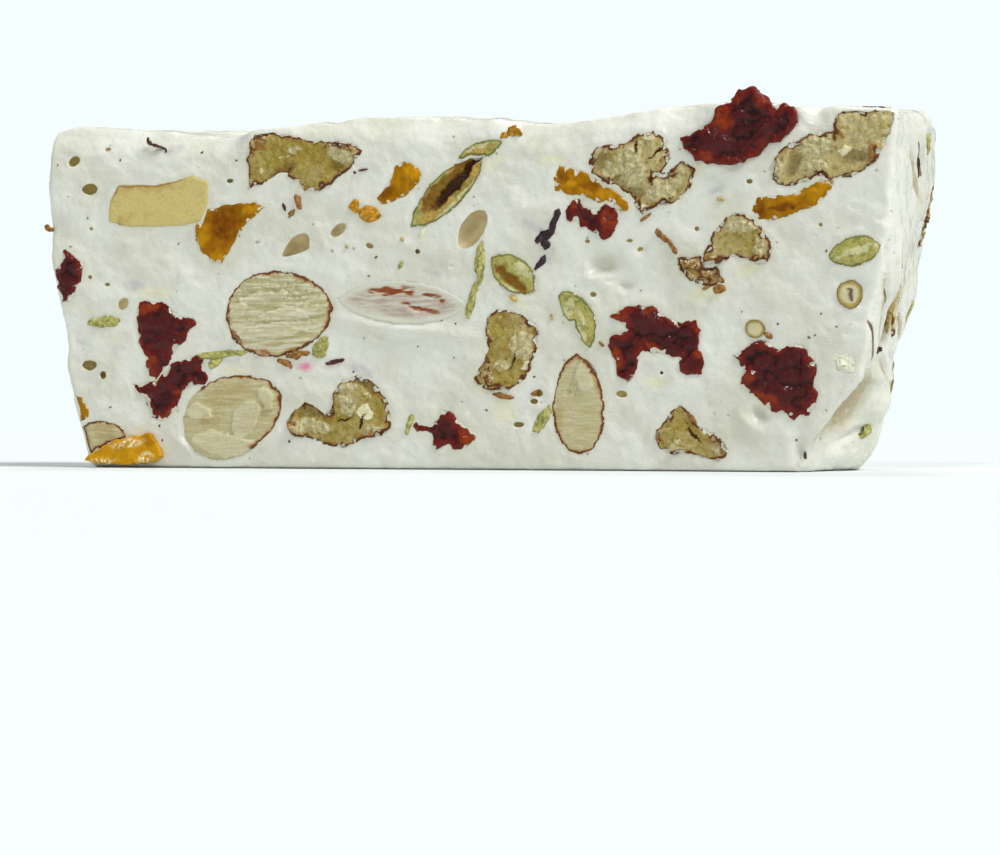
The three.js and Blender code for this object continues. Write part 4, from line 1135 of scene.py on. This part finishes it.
def pocket_cutter(node):
    """A slightly narrower copy of a piece, drawn out of the surface so that it cuts it open."""
    out = SIDES[side_of(node)][2]
    lift = CUTTER_LIFT * MM
    mesh = merged_mesh(node)
    shape = bmesh.new()
    shape.from_mesh(mesh)
    shape.normal_update()
    outer = [f for f in shape.faces if f.normal.dot(out) > FACING]
    ring = [e for e in shape.edges if len(set(outer).intersection(e.link_faces)) == 1]
    for cuts in range(1, 12):
        edges = [e for e in ring if min(round(e.calc_length() / (CUTTER_STEP * MM)) - 1, 11) == cuts]
        bmesh.ops.bisect_edges(shape, edges=edges, cuts=cuts)
    drawn = bmesh.ops.extrude_face_region(shape, geom=outer)["geom"]
    lifted = [v for v in drawn if isinstance(v, bmesh.types.BMVert)]
    bmesh.ops.delete(shape, geom=outer, context="FACES")
    bmesh.ops.translate(shape, verts=lifted, vec=out * lift)
    shape.normal_update()
    raised = set(lifted)
    flat = np.array([v.co - out * (lift if v in raised else 0) for v in shape.verts]) / MM
    for vert, shift in zip(shape.verts, sideways_warp(node, flat)):
        sideways = vert.normal - out * vert.normal.dot(out)
        if sideways.length > 0.1:
            vert.co -= sideways.normalized() * (POCKET_SHRINK * MM)
        vert.co += Vector(shift) * MM
    shape.to_mesh(mesh)
    shape.free()
    return mesh


class NOUGAT_OT_body(bpy.types.Operator):
    """Adds the nougat itself, with a pocket for every piece and its bubble holes"""

    bl_idname = "nougat_bar.body"
    bl_label = "Nougat"

    def execute(self, context):
        settings = context.scene.nougat_body
        nodes = [node for node in frame["nodes"] if node != "nougat"]
        pieces = outer_faces_tree(nodes)
        bare = outer_faces_tree([node for node in nodes if node != "almond_d"])
        materials = (
            nougat_material(settings),
            painted_hollow_shade_material("bubble_wall_syrup", settings.bubble, settings.small_bubble),
            painted_hollow_shade_material("small_bubble_syrup", settings.small_bubble, settings.bubble),
            painted_hollow_shade_material("skin_in_a_fold", settings.slit, settings.colour),
        )
        body = link_object("nougat_cut", self.formed_block(settings, pieces, bare), materials)
        pockets = bmesh.new()
        for node in nodes:
            mesh = pocket_cutter(node)
            pockets.from_mesh(mesh)
            bpy.data.meshes.remove(mesh)
        self.cut(body, pockets)
        self.cut(body, self.hole_cutters(settings, pieces))
        self.stain(body.data, bare)
        body.data.shade_smooth()
        body.data.set_sharp_from_angle(angle=math.radians(SHARP_TURN))
        settle(body, "nougat", "nougat")
        return {"FINISHED"}

    def formed_block(self, settings, pieces, bare):
        """A finely cut cube, bent to the bar's form."""
        half = np.array((BLOCK_REACH, DEPTH / 2, HEIGHT / 2))
        shape = bmesh.new()
        bmesh.ops.create_cube(shape, size=2)
        grid = settings.grid / MM
        cells = (round(2 * half[0] / grid), round(1.4 * half[1] / grid), round(2 * half[2] / grid))
        for axis, count in enumerate(cells):
            edges = [e for e in shape.edges if abs(e.verts[0].co[axis] - e.verts[1].co[axis]) > 1]
            bmesh.ops.subdivide_edges(shape, edges=edges, cuts=count - 1, use_grid_fill=True)
        front = [e for e in shape.edges if max(v.co.y for v in e.verts) < -0.999]
        bmesh.ops.subdivide_edges(shape, edges=front, cuts=1, use_grid_fill=True)
        right = [e for e in shape.edges if min(v.co.x for v in e.verts) > 0.999]
        bmesh.ops.subdivide_edges(shape, edges=right, cuts=2, use_grid_fill=True)
        mesh = new_mesh("nougat_cut", shape)
        set_mesh_points(mesh, self.formed_points(mesh_points(mesh) * MM, half, settings, pieces, bare))
        return mesh

    def formed_points(self, unit, half, settings, pieces, bare):
        """Rounds the block's edges, shapes its ends and top, and makes its sides uneven."""
        radius = settings.edge_radius / MM
        points = unit * half
        inner = np.clip(points, radius - half, half - radius)
        outward = points - inner
        outward /= np.linalg.norm(outward, axis=1, keepdims=True)
        points = inner + outward * radius
        along = points[:, 0] / half[0]
        y, z = points[:, 1], points[:, 2] + half[2]
        right = end_reach(RIGHT_END, RIGHT_LUMPS, y, z)
        left = end_reach(LEFT_END, LEFT_LUMPS, y, z)
        x = along * np.where(along > 0, right, left)
        formed = np.column_stack((x, y, z * top_height(x, y) / HEIGHT))
        # How much each point belongs to the cut faces, the front one, and the ends and top
        cut = np.abs(outward[:, 1])
        front = np.clip(-outward[:, 1], 0, 1)
        loose = np.maximum(np.abs(outward[:, 0]), np.clip(outward[:, 2], 0, 1))
        # The unevenness stays clear of the pieces, which lie flush with the surface
        gap = distances(pieces, formed + np.array(SHIFT))
        free = smooth_step(gap, 0.2, 2.2)
        waves = noise_field(formed, 9, seed=1, stretch=(1.6, 1, 1)) * settings.face_waves / MM
        waves += noise_field(formed, 3.4, seed=2, octaves=3, stretch=(1.5, 1, 1)) * 0.24
        waves += noise_field(formed, 1.3, seed=4, stretch=(1.8, 1, 1)) * 0.1
        lumps = noise_field(formed, 11, seed=3, octaves=3) * settings.lump_height / MM
        lumps += noise_field(formed, 2.6, seed=7) * 0.16
        # Soft lips of nougat, pushed up round parts of the pieces
        lip_gap = distances(bare, formed + np.array(SHIFT))
        lips = np.exp(-((lip_gap - 0.7) / 0.45) ** 2) * smooth_step(noise_field(formed, 2.4, seed=8), 0, 0.4) * 0.14
        relief = front * self.swelling(FRONT_FORMS, formed[:, 0], formed[:, 2])
        relief += np.clip(outward[:, 0], 0, 1) * self.swelling(RIGHT_FORMS, formed[:, 1], formed[:, 2])
        rise = (cut * waves + loose * lumps) * free + relief * smooth_step(gap, 0, 0.5) + lips
        formed += outward * rise[:, None]
        # Both cut faces lean back at the top edge
        lean = np.exp(-(((HEIGHT - z) / 2.4) ** 2)) * settings.shoulder / MM * smooth_step(gap, 0, 4)
        formed[:, 1] *= 1 - lean / (DEPTH / 2)
        formed[:, 2] = np.maximum(formed[:, 2], 0)
        return formed + np.array(SHIFT)

    def swelling(self, forms, across, up):
        """The height that soft swellings and dimples add."""
        relief = np.zeros(len(across))
        for x, z, length, width, turn, rise in forms:
            along, aside = turned(across - x, up - z, turn)
            relief += rise * np.exp(-((along / length) ** 2) - (aside / width) ** 2)
        return relief

    def hole_cutters(self, settings, pieces):
        """Egg shapes for the bubbles and thin ones for the slits of the right end."""
        holes = []
        for side, bubbles, wall in (("front", FRONT_BUBBLES, 1), ("front", SMALL_BUBBLES, 2),
                                    ("back", BACK_BUBBLES, 1)):
            holes += [(side, x, z, turn, (length / 2, width / 2, width * 0.6), wall)
                      for x, z, length, width, turn in bubbles]
        holes += [("right", y, z, turn, (length / 2, width / 2, depth), 3 if brown else 0)
                  for y, z, length, width, turn, depth, brown in RIGHT_SLITS]
        for side in ("front", "back"):
            draw = random.Random(side)
            for _ in range(settings.bubbles):
                # Half widths from 0.14 mm to a rare 0.54 mm
                size = 0.14 + 0.4 * draw.random() ** 4
                x, z, turn = draw.uniform(-60, 58), draw.uniform(3, 48), draw.uniform(-30, 30)
                scale = (size * draw.uniform(1, 1.9), size, size * 0.9)
                if pieces.find_nearest(surface_point(side, x, z) * MM)[3] > 1.2 * MM:
                    holes.append((side, x, z, turn, scale, 0 if size < 0.3 else 2))
        cutters = bmesh.new()
        for side, across, up, turn, scale, wall in holes:
            place = side_matrix(side, across, up, turn, scale)
            level = 2 if max(scale) < 1 else 3
            egg = bmesh.ops.create_icosphere(cutters, subdivisions=level, radius=1, matrix=place)["verts"]
            self.roughen(egg, min(scale) * 0.12, wall)
        x, z, length, height, turn = HALF_BUBBLE
        half_egg = bmesh.ops.create_icosphere(cutters, subdivisions=4, radius=1)["verts"]
        for vert in half_egg:
            vert.co.y *= 1 if vert.co.y > 0 else 0.15
            vert.co.x = (vert.co.x + 0.6 * max(vert.co.y, 0)) / 1.1
        bmesh.ops.transform(cutters, verts=half_egg,
                            matrix=side_matrix("front", x, z, turn, (length / 2, height, height * 0.8)))
        self.roughen(half_egg, 0.15, 1)
        return cutters

    def roughen(self, verts, amount, wall):
        """Makes a bubble's wall uneven and gives it its material."""
        for vert in verts:
            vert.co += noise.noise_vector(vert.co * per_metre(1.4)) * amount * MM
        for face in {face for vert in verts for face in vert.link_faces}:
            face.material_index = wall

    def cut(self, body, cutters):
        """Takes the cutters out of the body."""
        bmesh.ops.recalc_face_normals(cutters, faces=cutters.faces)
        tool = link_object("cutters", new_mesh("cutters", cutters), body.data.materials)
        boolean = body.modifiers.new("Cut", "BOOLEAN")
        boolean.operation = "DIFFERENCE"
        boolean.solver = "MANIFOLD"
        boolean.object = tool
        count = len(body.data.vertices)
        applied_copy(body)
        bpy.data.objects.remove(tool)
        if len(body.data.vertices) == count:
            raise RuntimeError("the pockets or bubbles weren't cut")

    def stain(self, mesh, pieces):
        """Marks where the nougat is tinted by what lies in it, and where shade is painted: beside a curl of skin and
        in the hollow and folds of the right end.
        """
        points = mesh_points(mesh)
        x, y, z = (points - np.array(SHIFT)).T
        front = y < 1 - DEPTH / 2
        oily = (1 - smooth_step(distances(pieces, points), 0.1, 0.8)) * 0.3
        set_attribute(mesh, "yellow", np.maximum(ellipse_field(YELLOW_STAINS, x, z) * front, oily))
        set_attribute(mesh, "berry", ellipse_field(BERRY_STAINS, x, z) * front)
        # grey holds a painted shadow beside the curl of skin
        set_attribute(mesh, "grey", ellipse_field(GREY_STAINS_AND_SHADOW, x, z) * front)
        # painted shade in the hollow and folds of the right end
        set_attribute(mesh, "fold", ellipse_field(RIGHT_FOLD_PAINTED_SHADE, y, z) * (x > 40) * (1 - front))


# ---------------------------------------------------------------- pieces


def detailed_piece(node, voxel, material, shape_piece, slot_name):
    """A finely meshed copy of a CAD piece whose cut face shape_piece then works over."""
    source = merged_mesh(node)
    side = side_of(node)
    out = SIDES[side][2]
    walls = face_tree(source, lambda face: face.normal.dot(out) < FACING)
    tops = face_tree(source, lambda face: face.normal.dot(out) >= FACING)
    piece = link_object(node + "_cut", source, ())
    remesh = piece.modifiers.new("Even mesh", "REMESH")
    remesh.mode = "VOXEL"
    remesh.voxel_size = voxel
    mesh = applied_copy(piece)
    mesh.materials.append(material)
    points = mesh_points(mesh)
    # How far each point is from the piece's outline and from its cut face
    rim, height = distances(walls, points), distances(tops, points)
    on_face = 1 - smooth_step(height, 0.3, 0.8)
    # Its place across, up and out of the side, and one whose small shifts fray the marks
    moved = points - np.array(SHIFT)
    local = np.column_stack([moved @ np.array(axis) for axis in SIDES[side]])
    ragged = [local[:, axis] + noise_field(local, 1.3, seed=81 + axis) * 0.35 for axis in (0, 1)]

    def marked(kind, width=3.0, threshold=1.0):
        """How much of this kind each point is: by the piece's marks, or at random if it has none."""
        if node in MARKS:
            return ellipse_field(MARKS[node].get(kind, ()), *ragged)
        return smooth_step(noise_field(local, width, seed=len(kind) + ord(kind[0])), threshold, threshold + 0.2)

    rise, fields = shape_piece(node, local, rim, marked)
    # The nougat laps over the rim, further in at its bites and wherever a film is marked
    marks = MARKS.get(node, {})
    film = ellipse_field(marks.get("film", ()), *ragged)
    width, depth = BITES[slot_name]
    bites = depth * smooth_step(noise_field(local, width, seed=91), 0, 0.5) * (node not in PROUD)
    rim = np.minimum(rim - POCKET_SHRINK - bites, np.where(film > 0.02, 0.5 - film, 9))
    film = (1 - smooth_step(rim, -0.3, 0.02)) * on_face * smooth_step(bites + film, 0.02, 0.12)
    rise = rise * (1 - smooth_step(film, 0.3, 0.6)) + 0.04
    fields.update(film=film, rim=rim + ellipse_field(marks.get("rimless", ()), *ragged) * 3)
    # The ends and the top aren't flat: there the cut face follows the nougat
    if side not in ("front", "back"):
        rise = rise * (0.3 if side == "top" else 1) + surface_gap(side, points) - height
    points += sideways_warp(node, points)
    points += (rise * on_face)[:, None] * np.array(out)
    points[:, 2] = np.maximum(points[:, 2], CLEARANCE)
    set_mesh_points(mesh, points)
    for name, values in fields.items():
        set_attribute(mesh, name, values)
    mesh.shade_smooth()
    return settle(piece, slot_name, node)


# Each shape function gives how far the cut face rises, in millimetres, and the attributes that its material reads


def shape_almond(node, local, rim, marked):
    fibrous = 0.35 if node in ("almond_b", "almond_c", "almond_e") else 1.0
    fibres = noise_field(local, 0.55, seed=11, octaves=3, stretch=(7, 1, 1))
    flakes = noise_field(local, 3.2, seed=12, octaves=3, stretch=(2.4, 1, 1))
    terraces = np.floor(flakes * 5) / 5
    flake = marked("flake", 3.6, 0.1)
    dots, crust = marked("dots", 4, 0.2), marked("crust")
    pits = np.clip(noise_field(local, 0.5, seed=13), 0, 1)
    rise = (0.13 + fibres * 0.12 * fibrous + (terraces - flakes) * 0.45 + smooth_step(flake, 0.42, 0.58) * 0.3
            - dots * pits * 0.4 + crust * (pits - 0.2) * 0.5)
    broken = smooth_step(noise_field(local, 1.6, seed=15), 0, 0.25)
    # edge: a painted highlight along the raised edges of the flakes
    fields = {"edge": np.exp(-((flake - 0.62) / 0.1) ** 2) * broken, "dots": dots, "crust": crust,
              "plane": smooth_step(flake, 0.45, 0.6),
              "dull": marked("dull", 4, 0.15), "skin": marked("skin")}
    return rise, fields


def shape_filmed_almond(node, local, rim, marked):
    skin = marked("skin")
    smears = noise_field(local, 2, seed=14, stretch=(3.5, 1, 1))
    inside = smooth_step(rim, 0.2, 1.6)
    rise = 0.06 + (smears * 0.2 - skin * 0.15 - 0.06) * inside
    return rise, {"skin": skin * inside, "dull": marked("dull") * inside}


def shape_pecan(node, local, rim, marked):
    crumb, deep = marked("crumb", 3.2, 0.0), marked("deep", 3, 0.2)
    crack, pale = marked("crack"), marked("pale", 1.4, 0.35)
    grain, skin, crust = marked("grain"), marked("skin"), marked("crust", 2.4, 0.3)
    grit = noise_field(local, 0.6, seed=22)
    clods = np.abs(noise_field(local, 1.5, seed=25))
    folds = noise_field(local, 2.8, seed=23)
    rise = (0.14 + folds * 0.26 + grit * 0.05 + crumb * (0.1 + grit * 0.24 + clods * 0.4) + grain * grit * 0.2
            + crust * (0.05 + grit * 0.5) + pale * 0.15 + skin * 0.1 - deep * 0.45 - crack * 0.5)
    tone = PECAN_TONES.get(node, 0.3) + noise_field(local, 4, seed=26) * 0.3
    fields = {"crumb": crumb, "deep": deep, "crack": crack, "pale": pale, "grain": grain, "skin": skin,
              "crust": crust, "tone": tone}
    return rise, fields


def shape_cashew(node, local, rim, marked):
    return 0.1 + noise_field(local, 3.4, seed=31, octaves=3) * 0.09, {}


def shape_cranberry(node, local, rim, marked):
    lobes = np.abs(noise_field(local, 3.2, seed=41, stretch=(1.5, 1, 1)))
    wrinkles = np.abs(noise_field(local, 1.2, seed=42, stretch=(1.5, 1, 1)))
    fine = noise_field(local, 0.5, seed=43)
    rounded = 1 - smooth_step(rim, 0, 0.9)
    rise = lobes * 0.75 + wrinkles * 0.2 + fine * 0.07 - rounded * 0.1
    # fold is low in the creases between lobes, where the material paints shade
    fields = {"fold": smooth_step(lobes + wrinkles * 0.5, -0.05, 0.4), "glow": marked("glow", 2.2, 0.25)}
    return rise, fields


def shape_apricot(node, local, rim, marked):
    dark, bright, crystal = marked("dark", 2.6, 0.15), marked("bright", 2.2, 0.2), marked("crystal")
    soft = noise_field(local, 2.2, seed=51, octaves=3)
    fine = noise_field(local, 0.8, seed=52)
    grains = np.clip(noise_field(local, 0.5, seed=53), 0, 1)
    rise = 0.1 + soft * 0.2 + fine * 0.09 - dark * 0.15 + bright * 0.1 + crystal * (0.1 + grains * 0.6)
    tone = APRICOT_TONES.get(node, 0.45) + bright * 0.25 - dark * 0.28 + soft * 0.07
    return rise, {"tone": tone, "crystal": crystal}


def shape_seed(node, local, rim, marked):
    tan = marked("tan")
    if node in MARKS:
        gap, stripe, pale = marked("gap"), marked("stripe"), marked("pale")
    else:
        # without marks the middle is the hollow, which the material darkens with painted shade
        gap, stripe, pale = smooth_step(rim, 1.4, 1.7), smooth_step(rim, 0.5, 0.8), smooth_step(rim, 0.9, 1.2)
    grain = noise_field(local, 1.2, seed=61, octaves=3, stretch=(2, 1, 1))
    fine = noise_field(local, 0.5, seed=62)
    rise = 0.15 + grain * 0.16 + fine * 0.08 - gap * 0.7 - stripe * 0.2 + pale * 0.08
    return rise, {"gap": gap, "stripe": stripe, "pale": pale, "tan": tan}


def add_pieces(slot_name, material, shape_piece, front_voxel=0.2, back_voxel=0.32, special=None):
    """Dresses every CAD node of one slot."""
    for node, slot in SLOTS.items():
        if slot == slot_name:
            voxel = front_voxel if side_of(node) == "front" else back_voxel
            chosen = (special or {}).get(node, (material, shape_piece))
            detailed_piece(node, voxel * MM, *chosen, slot_name)


class NOUGAT_OT_almonds(bpy.types.Operator):
    """Adds the cut almonds"""

    bl_idname = "nougat_bar.almonds"
    bl_label = "Almonds"

    def execute(self, context):
        settings = context.scene.nougat_almonds
        special = {"almond_d": (filmed_almond_material(settings), shape_filmed_almond)}
        smooth = almond_material(settings, 20, 0.35)
        special.update({node: (smooth, shape_almond) for node in ("almond_b", "almond_c", "almond_e")})
        add_pieces("almond", almond_material(settings), shape_almond, special=special)
        return {"FINISHED"}


class NOUGAT_OT_pecans(bpy.types.Operator):
    """Adds the cut pecans"""

    bl_idname = "nougat_bar.pecans"
    bl_label = "Pecans"

    def execute(self, context):
        add_pieces("pecan", pecan_material(context.scene.nougat_pecans), shape_pecan)
        return {"FINISHED"}


class NOUGAT_OT_cashews(bpy.types.Operator):
    """Adds the cut cashews"""

    bl_idname = "nougat_bar.cashews"
    bl_label = "Cashews"

    def execute(self, context):
        add_pieces("cashew", cashew_material(context.scene.nougat_cashews), shape_cashew)
        return {"FINISHED"}


class NOUGAT_OT_cranberries(bpy.types.Operator):
    """Adds the cut cranberries"""

    bl_idname = "nougat_bar.cranberries"
    bl_label = "Cranberries"

    def execute(self, context):
        add_pieces("cranberry", cranberry_material(context.scene.nougat_cranberries), shape_cranberry)
        return {"FINISHED"}


class NOUGAT_OT_apricots(bpy.types.Operator):
    """Adds the cut apricots"""

    bl_idname = "nougat_bar.apricots"
    bl_label = "Apricots"

    def execute(self, context):
        add_pieces("apricot", apricot_material(context.scene.nougat_apricots), shape_apricot)
        return {"FINISHED"}


class NOUGAT_OT_seeds(bpy.types.Operator):
    """Adds the cut pumpkin seeds"""

    bl_idname = "nougat_bar.seeds"
    bl_label = "Pumpkin seeds"

    def execute(self, context):
        add_pieces("seed", seed_material(context.scene.nougat_seeds), shape_seed, 0.16, 0.25)
        return {"FINISHED"}


# ---------------------------------------------------------------- scraps


class NOUGAT_OT_scraps(bpy.types.Operator):
    """Adds the scraps of skin, seed and fruit, the cut rings and the tiny specks"""

    bl_idname = "nougat_bar.scraps"
    bl_label = "Scraps and specks"

    def execute(self, context):
        settings = context.scene.nougat_scraps
        ground = face_tree(bpy.data.objects["nougat_cut"].data, lambda face: True)
        for kind, (name, roughness, slot_name, thickness, contrast) in SCRAP_KINDS.items():
            flakes = [(side, *spot, thickness, 0) for side, kinds in SCRAPS.items() for spot in kinds.get(kind, ())]
            material = scrap_material(name, getattr(settings, kind), roughness, contrast)
            self.add_flakes(name, flakes, material, slot_name, ground)
        rings = [("front", *ring[:5], 0.3, 2 if ring[5] else 1) for ring in RINGS]
        self.add_flakes("cut_rings", rings, ring_material(settings), "seed", ground)
        specks = [("front", x, z, size * 2, size * 1.3, x * 50, 0.12, 0) for x, z, size in FRONT_SPECKS]
        draw = random.Random(7)
        for _ in range(settings.specks):
            size = draw.uniform(0.25, 0.6)
            specks.append(("back", draw.uniform(-61, 59), draw.uniform(3, 48), size * 1.4, size,
                           draw.uniform(0, 180), 0.16, 0))
        self.add_flakes("skin_specks", specks, scrap_material("skin_specks", settings.speck, 0.5), "pecan", ground)
        return {"FINISHED"}

    def add_flakes(self, name, flakes, material, slot_name, ground):
        """One piece of many small flakes that lie on the nougat."""
        shape = bmesh.new()
        layers = [shape.verts.layers.float.new(layer) for layer in ("radial", "slit")]
        for side, across, up, length, width, turn, thickness, ring in flakes:
            right, upward, out = SIDES[side]
            middle = surface_point(side, across, up)
            level = 4 if length > 3 else (3 if length > 0.9 else 1)
            for vert in bmesh.ops.create_icosphere(shape, subdivisions=level, radius=1)["verts"]:
                along, aside, over = vert.co
                radial = min(math.hypot(along, aside), 1)
                vert[layers[0]] = radial
                vert[layers[1]] = float(ring == 2 and abs(along + aside * 0.2) < 0.07 and abs(aside) < 0.3)
                # Spreads the flake's points outwards, so that its top is flat and its edge steep
                spread = radial ** -0.45 if radial > 0.01 else 1
                along, aside = along * spread * length / 2, aside * spread * width / 2
                along, aside = turned(along, aside, -turn)
                spot = middle + right * along + upward * aside
                # Rings stay round; a scrap's outline is as ragged as it is wide
                size = 0.6 if ring else min(width, 2)
                ragged = noise.noise_vector(spot / 1.1) * 0.25 * size + noise.noise_vector(spot / 0.45) * 0.16 * size
                spot += right * ragged.x + upward * ragged.y
                height = over * thickness + ragged.z * thickness * 1.1
                if ring:
                    height -= thickness * 0.7 * (1 - radial ** 4) - 0.1
                vert.co = (self.on_ground(spot, side, ground) + out * height) * MM
        mesh = new_mesh(name, shape)
        points = mesh_points(mesh)
        points[:, 2] = np.maximum(points[:, 2], CLEARANCE)
        set_mesh_points(mesh, points)
        mesh.shade_smooth()
        settle(link_object(name, mesh, (material,)), slot_name)

    def on_ground(self, spot, side, ground):
        """The point of the finished nougat under a spot, or of the bar's plain form over a pocket."""
        out = SIDES[side][2]
        spot = spot + out * float(surface_gap(side, np.array([spot]))[0])
        hit = ground.ray_cast((spot + out * 3) * MM, -out, 3.7 * MM)[0]
        return hit / MM if hit else spot


# ---------------------------------------------------------------- stage


class NOUGAT_OT_stage(bpy.types.Operator):
    """Adds the pale floor, the soft studio light and the camera"""

    bl_idname = "nougat_bar.stage"
    bl_label = "Stage"

    def execute(self, context):
        settings = context.scene.nougat_stage
        self.add_floor(settings)
        self.add_world(context, settings)
        for name, (direction, width, strength) in LIGHTS.items():
            self.add_sun(context, name, direction, width, strength)
        self.add_camera(context, settings)
        context.scene.view_settings.view_transform = "Standard"
        return {"FINISHED"}

    def add_floor(self, settings):
        shape = bmesh.new()
        bmesh.ops.create_circle(shape, cap_ends=True, segments=96, radius=4)
        mesh = new_mesh("floor", shape)
        # Matt painted board: even and pale, with a faint mottle.
        material, tree, _, mottle = new_material("matt_white_board", (40, 2.0))
        finish_surface(tree, settings.floor, 0.7, mottle, 0.02)
        link_object("floor", mesh, (material,))

    def add_world(self, context, settings):
        world = bpy.data.worlds.new("studio")
        world.use_nodes = True
        tree = world.node_tree
        tree.nodes.clear()
        shown = add_node(tree, "Background", {"Color": settings.sky})
        ambient = add_node(tree, "Background", {"Color": settings.sky, "Strength": AMBIENT})
        seen = add_node(tree, "LightPath").outputs["Is Camera Ray"]
        mixed = add_node(tree, "MixShader", {0: seen, 1: ambient, 2: shown})
        add_node(tree, "OutputWorld", {"Surface": mixed})
        context.scene.world = world

    def add_sun(self, context, name, direction, width, strength):
        light = bpy.data.lights.new(name, "SUN")
        light.angle = math.radians(width)
        light.energy = strength
        lamp = bpy.data.objects.new(name, light)
        lamp.rotation_euler = Vector(direction).to_track_quat("-Z", "Y").to_euler()
        context.scene.collection.objects.link(lamp)

    def add_camera(self, context, settings):
        turn = math.radians(CAMERA_TURN)
        forward = Vector((-math.sin(turn), math.cos(turn), 0))
        right = Vector((math.cos(turn), math.sin(turn), 0))
        place = Vector((0, FRONT_FACE, CAMERA_UP)) - forward * CAMERA_BACK + right * CAMERA_RIGHT
        camera = bpy.data.objects.new("camera", bpy.data.cameras.new("camera"))
        camera.data.lens = settings.lens
        camera.data.sensor_width = 36
        camera.data.clip_start = 0.01
        camera.location = place * MM
        camera.rotation_euler = forward.to_track_quat("-Z", "Y").to_euler()
        context.scene.collection.objects.link(camera)
        context.scene.camera = camera


class NOUGAT_PT_panel(bpy.types.Panel):
    """Lists the pieces of the nougat bar, each with its sizes and colours"""

    bl_label = "Nougat Bar"
    bl_idname = "NOUGAT_PT_panel"
    bl_space_type = "VIEW_3D"
    bl_region_type = "UI"
    bl_category = "Nougat"

    def draw(self, context):
        for operator, (name, group) in zip(OPERATORS, SETTINGS.items()):
            box = self.layout.box()
            box.operator(operator.bl_idname)
            for setting in group.__annotations__:
                box.prop(getattr(context.scene, name), setting)


# The operators in the order in which they run, and the settings of each in the same order
OPERATORS = (
    NOUGAT_OT_body,
    NOUGAT_OT_almonds,
    NOUGAT_OT_pecans,
    NOUGAT_OT_cashews,
    NOUGAT_OT_cranberries,
    NOUGAT_OT_apricots,
    NOUGAT_OT_seeds,
    NOUGAT_OT_scraps,
    NOUGAT_OT_stage,
)
SETTINGS = {
    "nougat_body": NougatSettings,
    "nougat_almonds": AlmondSettings,
    "nougat_pecans": PecanSettings,
    "nougat_cashews": CashewSettings,
    "nougat_cranberries": CranberrySettings,
    "nougat_apricots": ApricotSettings,
    "nougat_seeds": SeedSettings,
    "nougat_scraps": ScrapSettings,
    "nougat_stage": StageSettings,
}


def register():
    for name, group in SETTINGS.items():
        bpy.utils.register_class(group)
        setattr(bpy.types.Scene, name, PointerProperty(type=group))
    for operator in OPERATORS:
        bpy.utils.register_class(operator)
    bpy.utils.register_class(NOUGAT_PT_panel)


def unregister():
    bpy.utils.unregister_class(NOUGAT_PT_panel)
    for operator in reversed(OPERATORS):
        bpy.utils.unregister_class(operator)
    for name, group in reversed(SETTINGS.items()):
        delattr(bpy.types.Scene, name)
        bpy.utils.unregister_class(group)


def main():
    register()
    for operator in OPERATORS:
        group, action = operator.bl_idname.split(".")
        getattr(getattr(bpy.ops, group), action)()


if __name__ == "__main__":
    main()
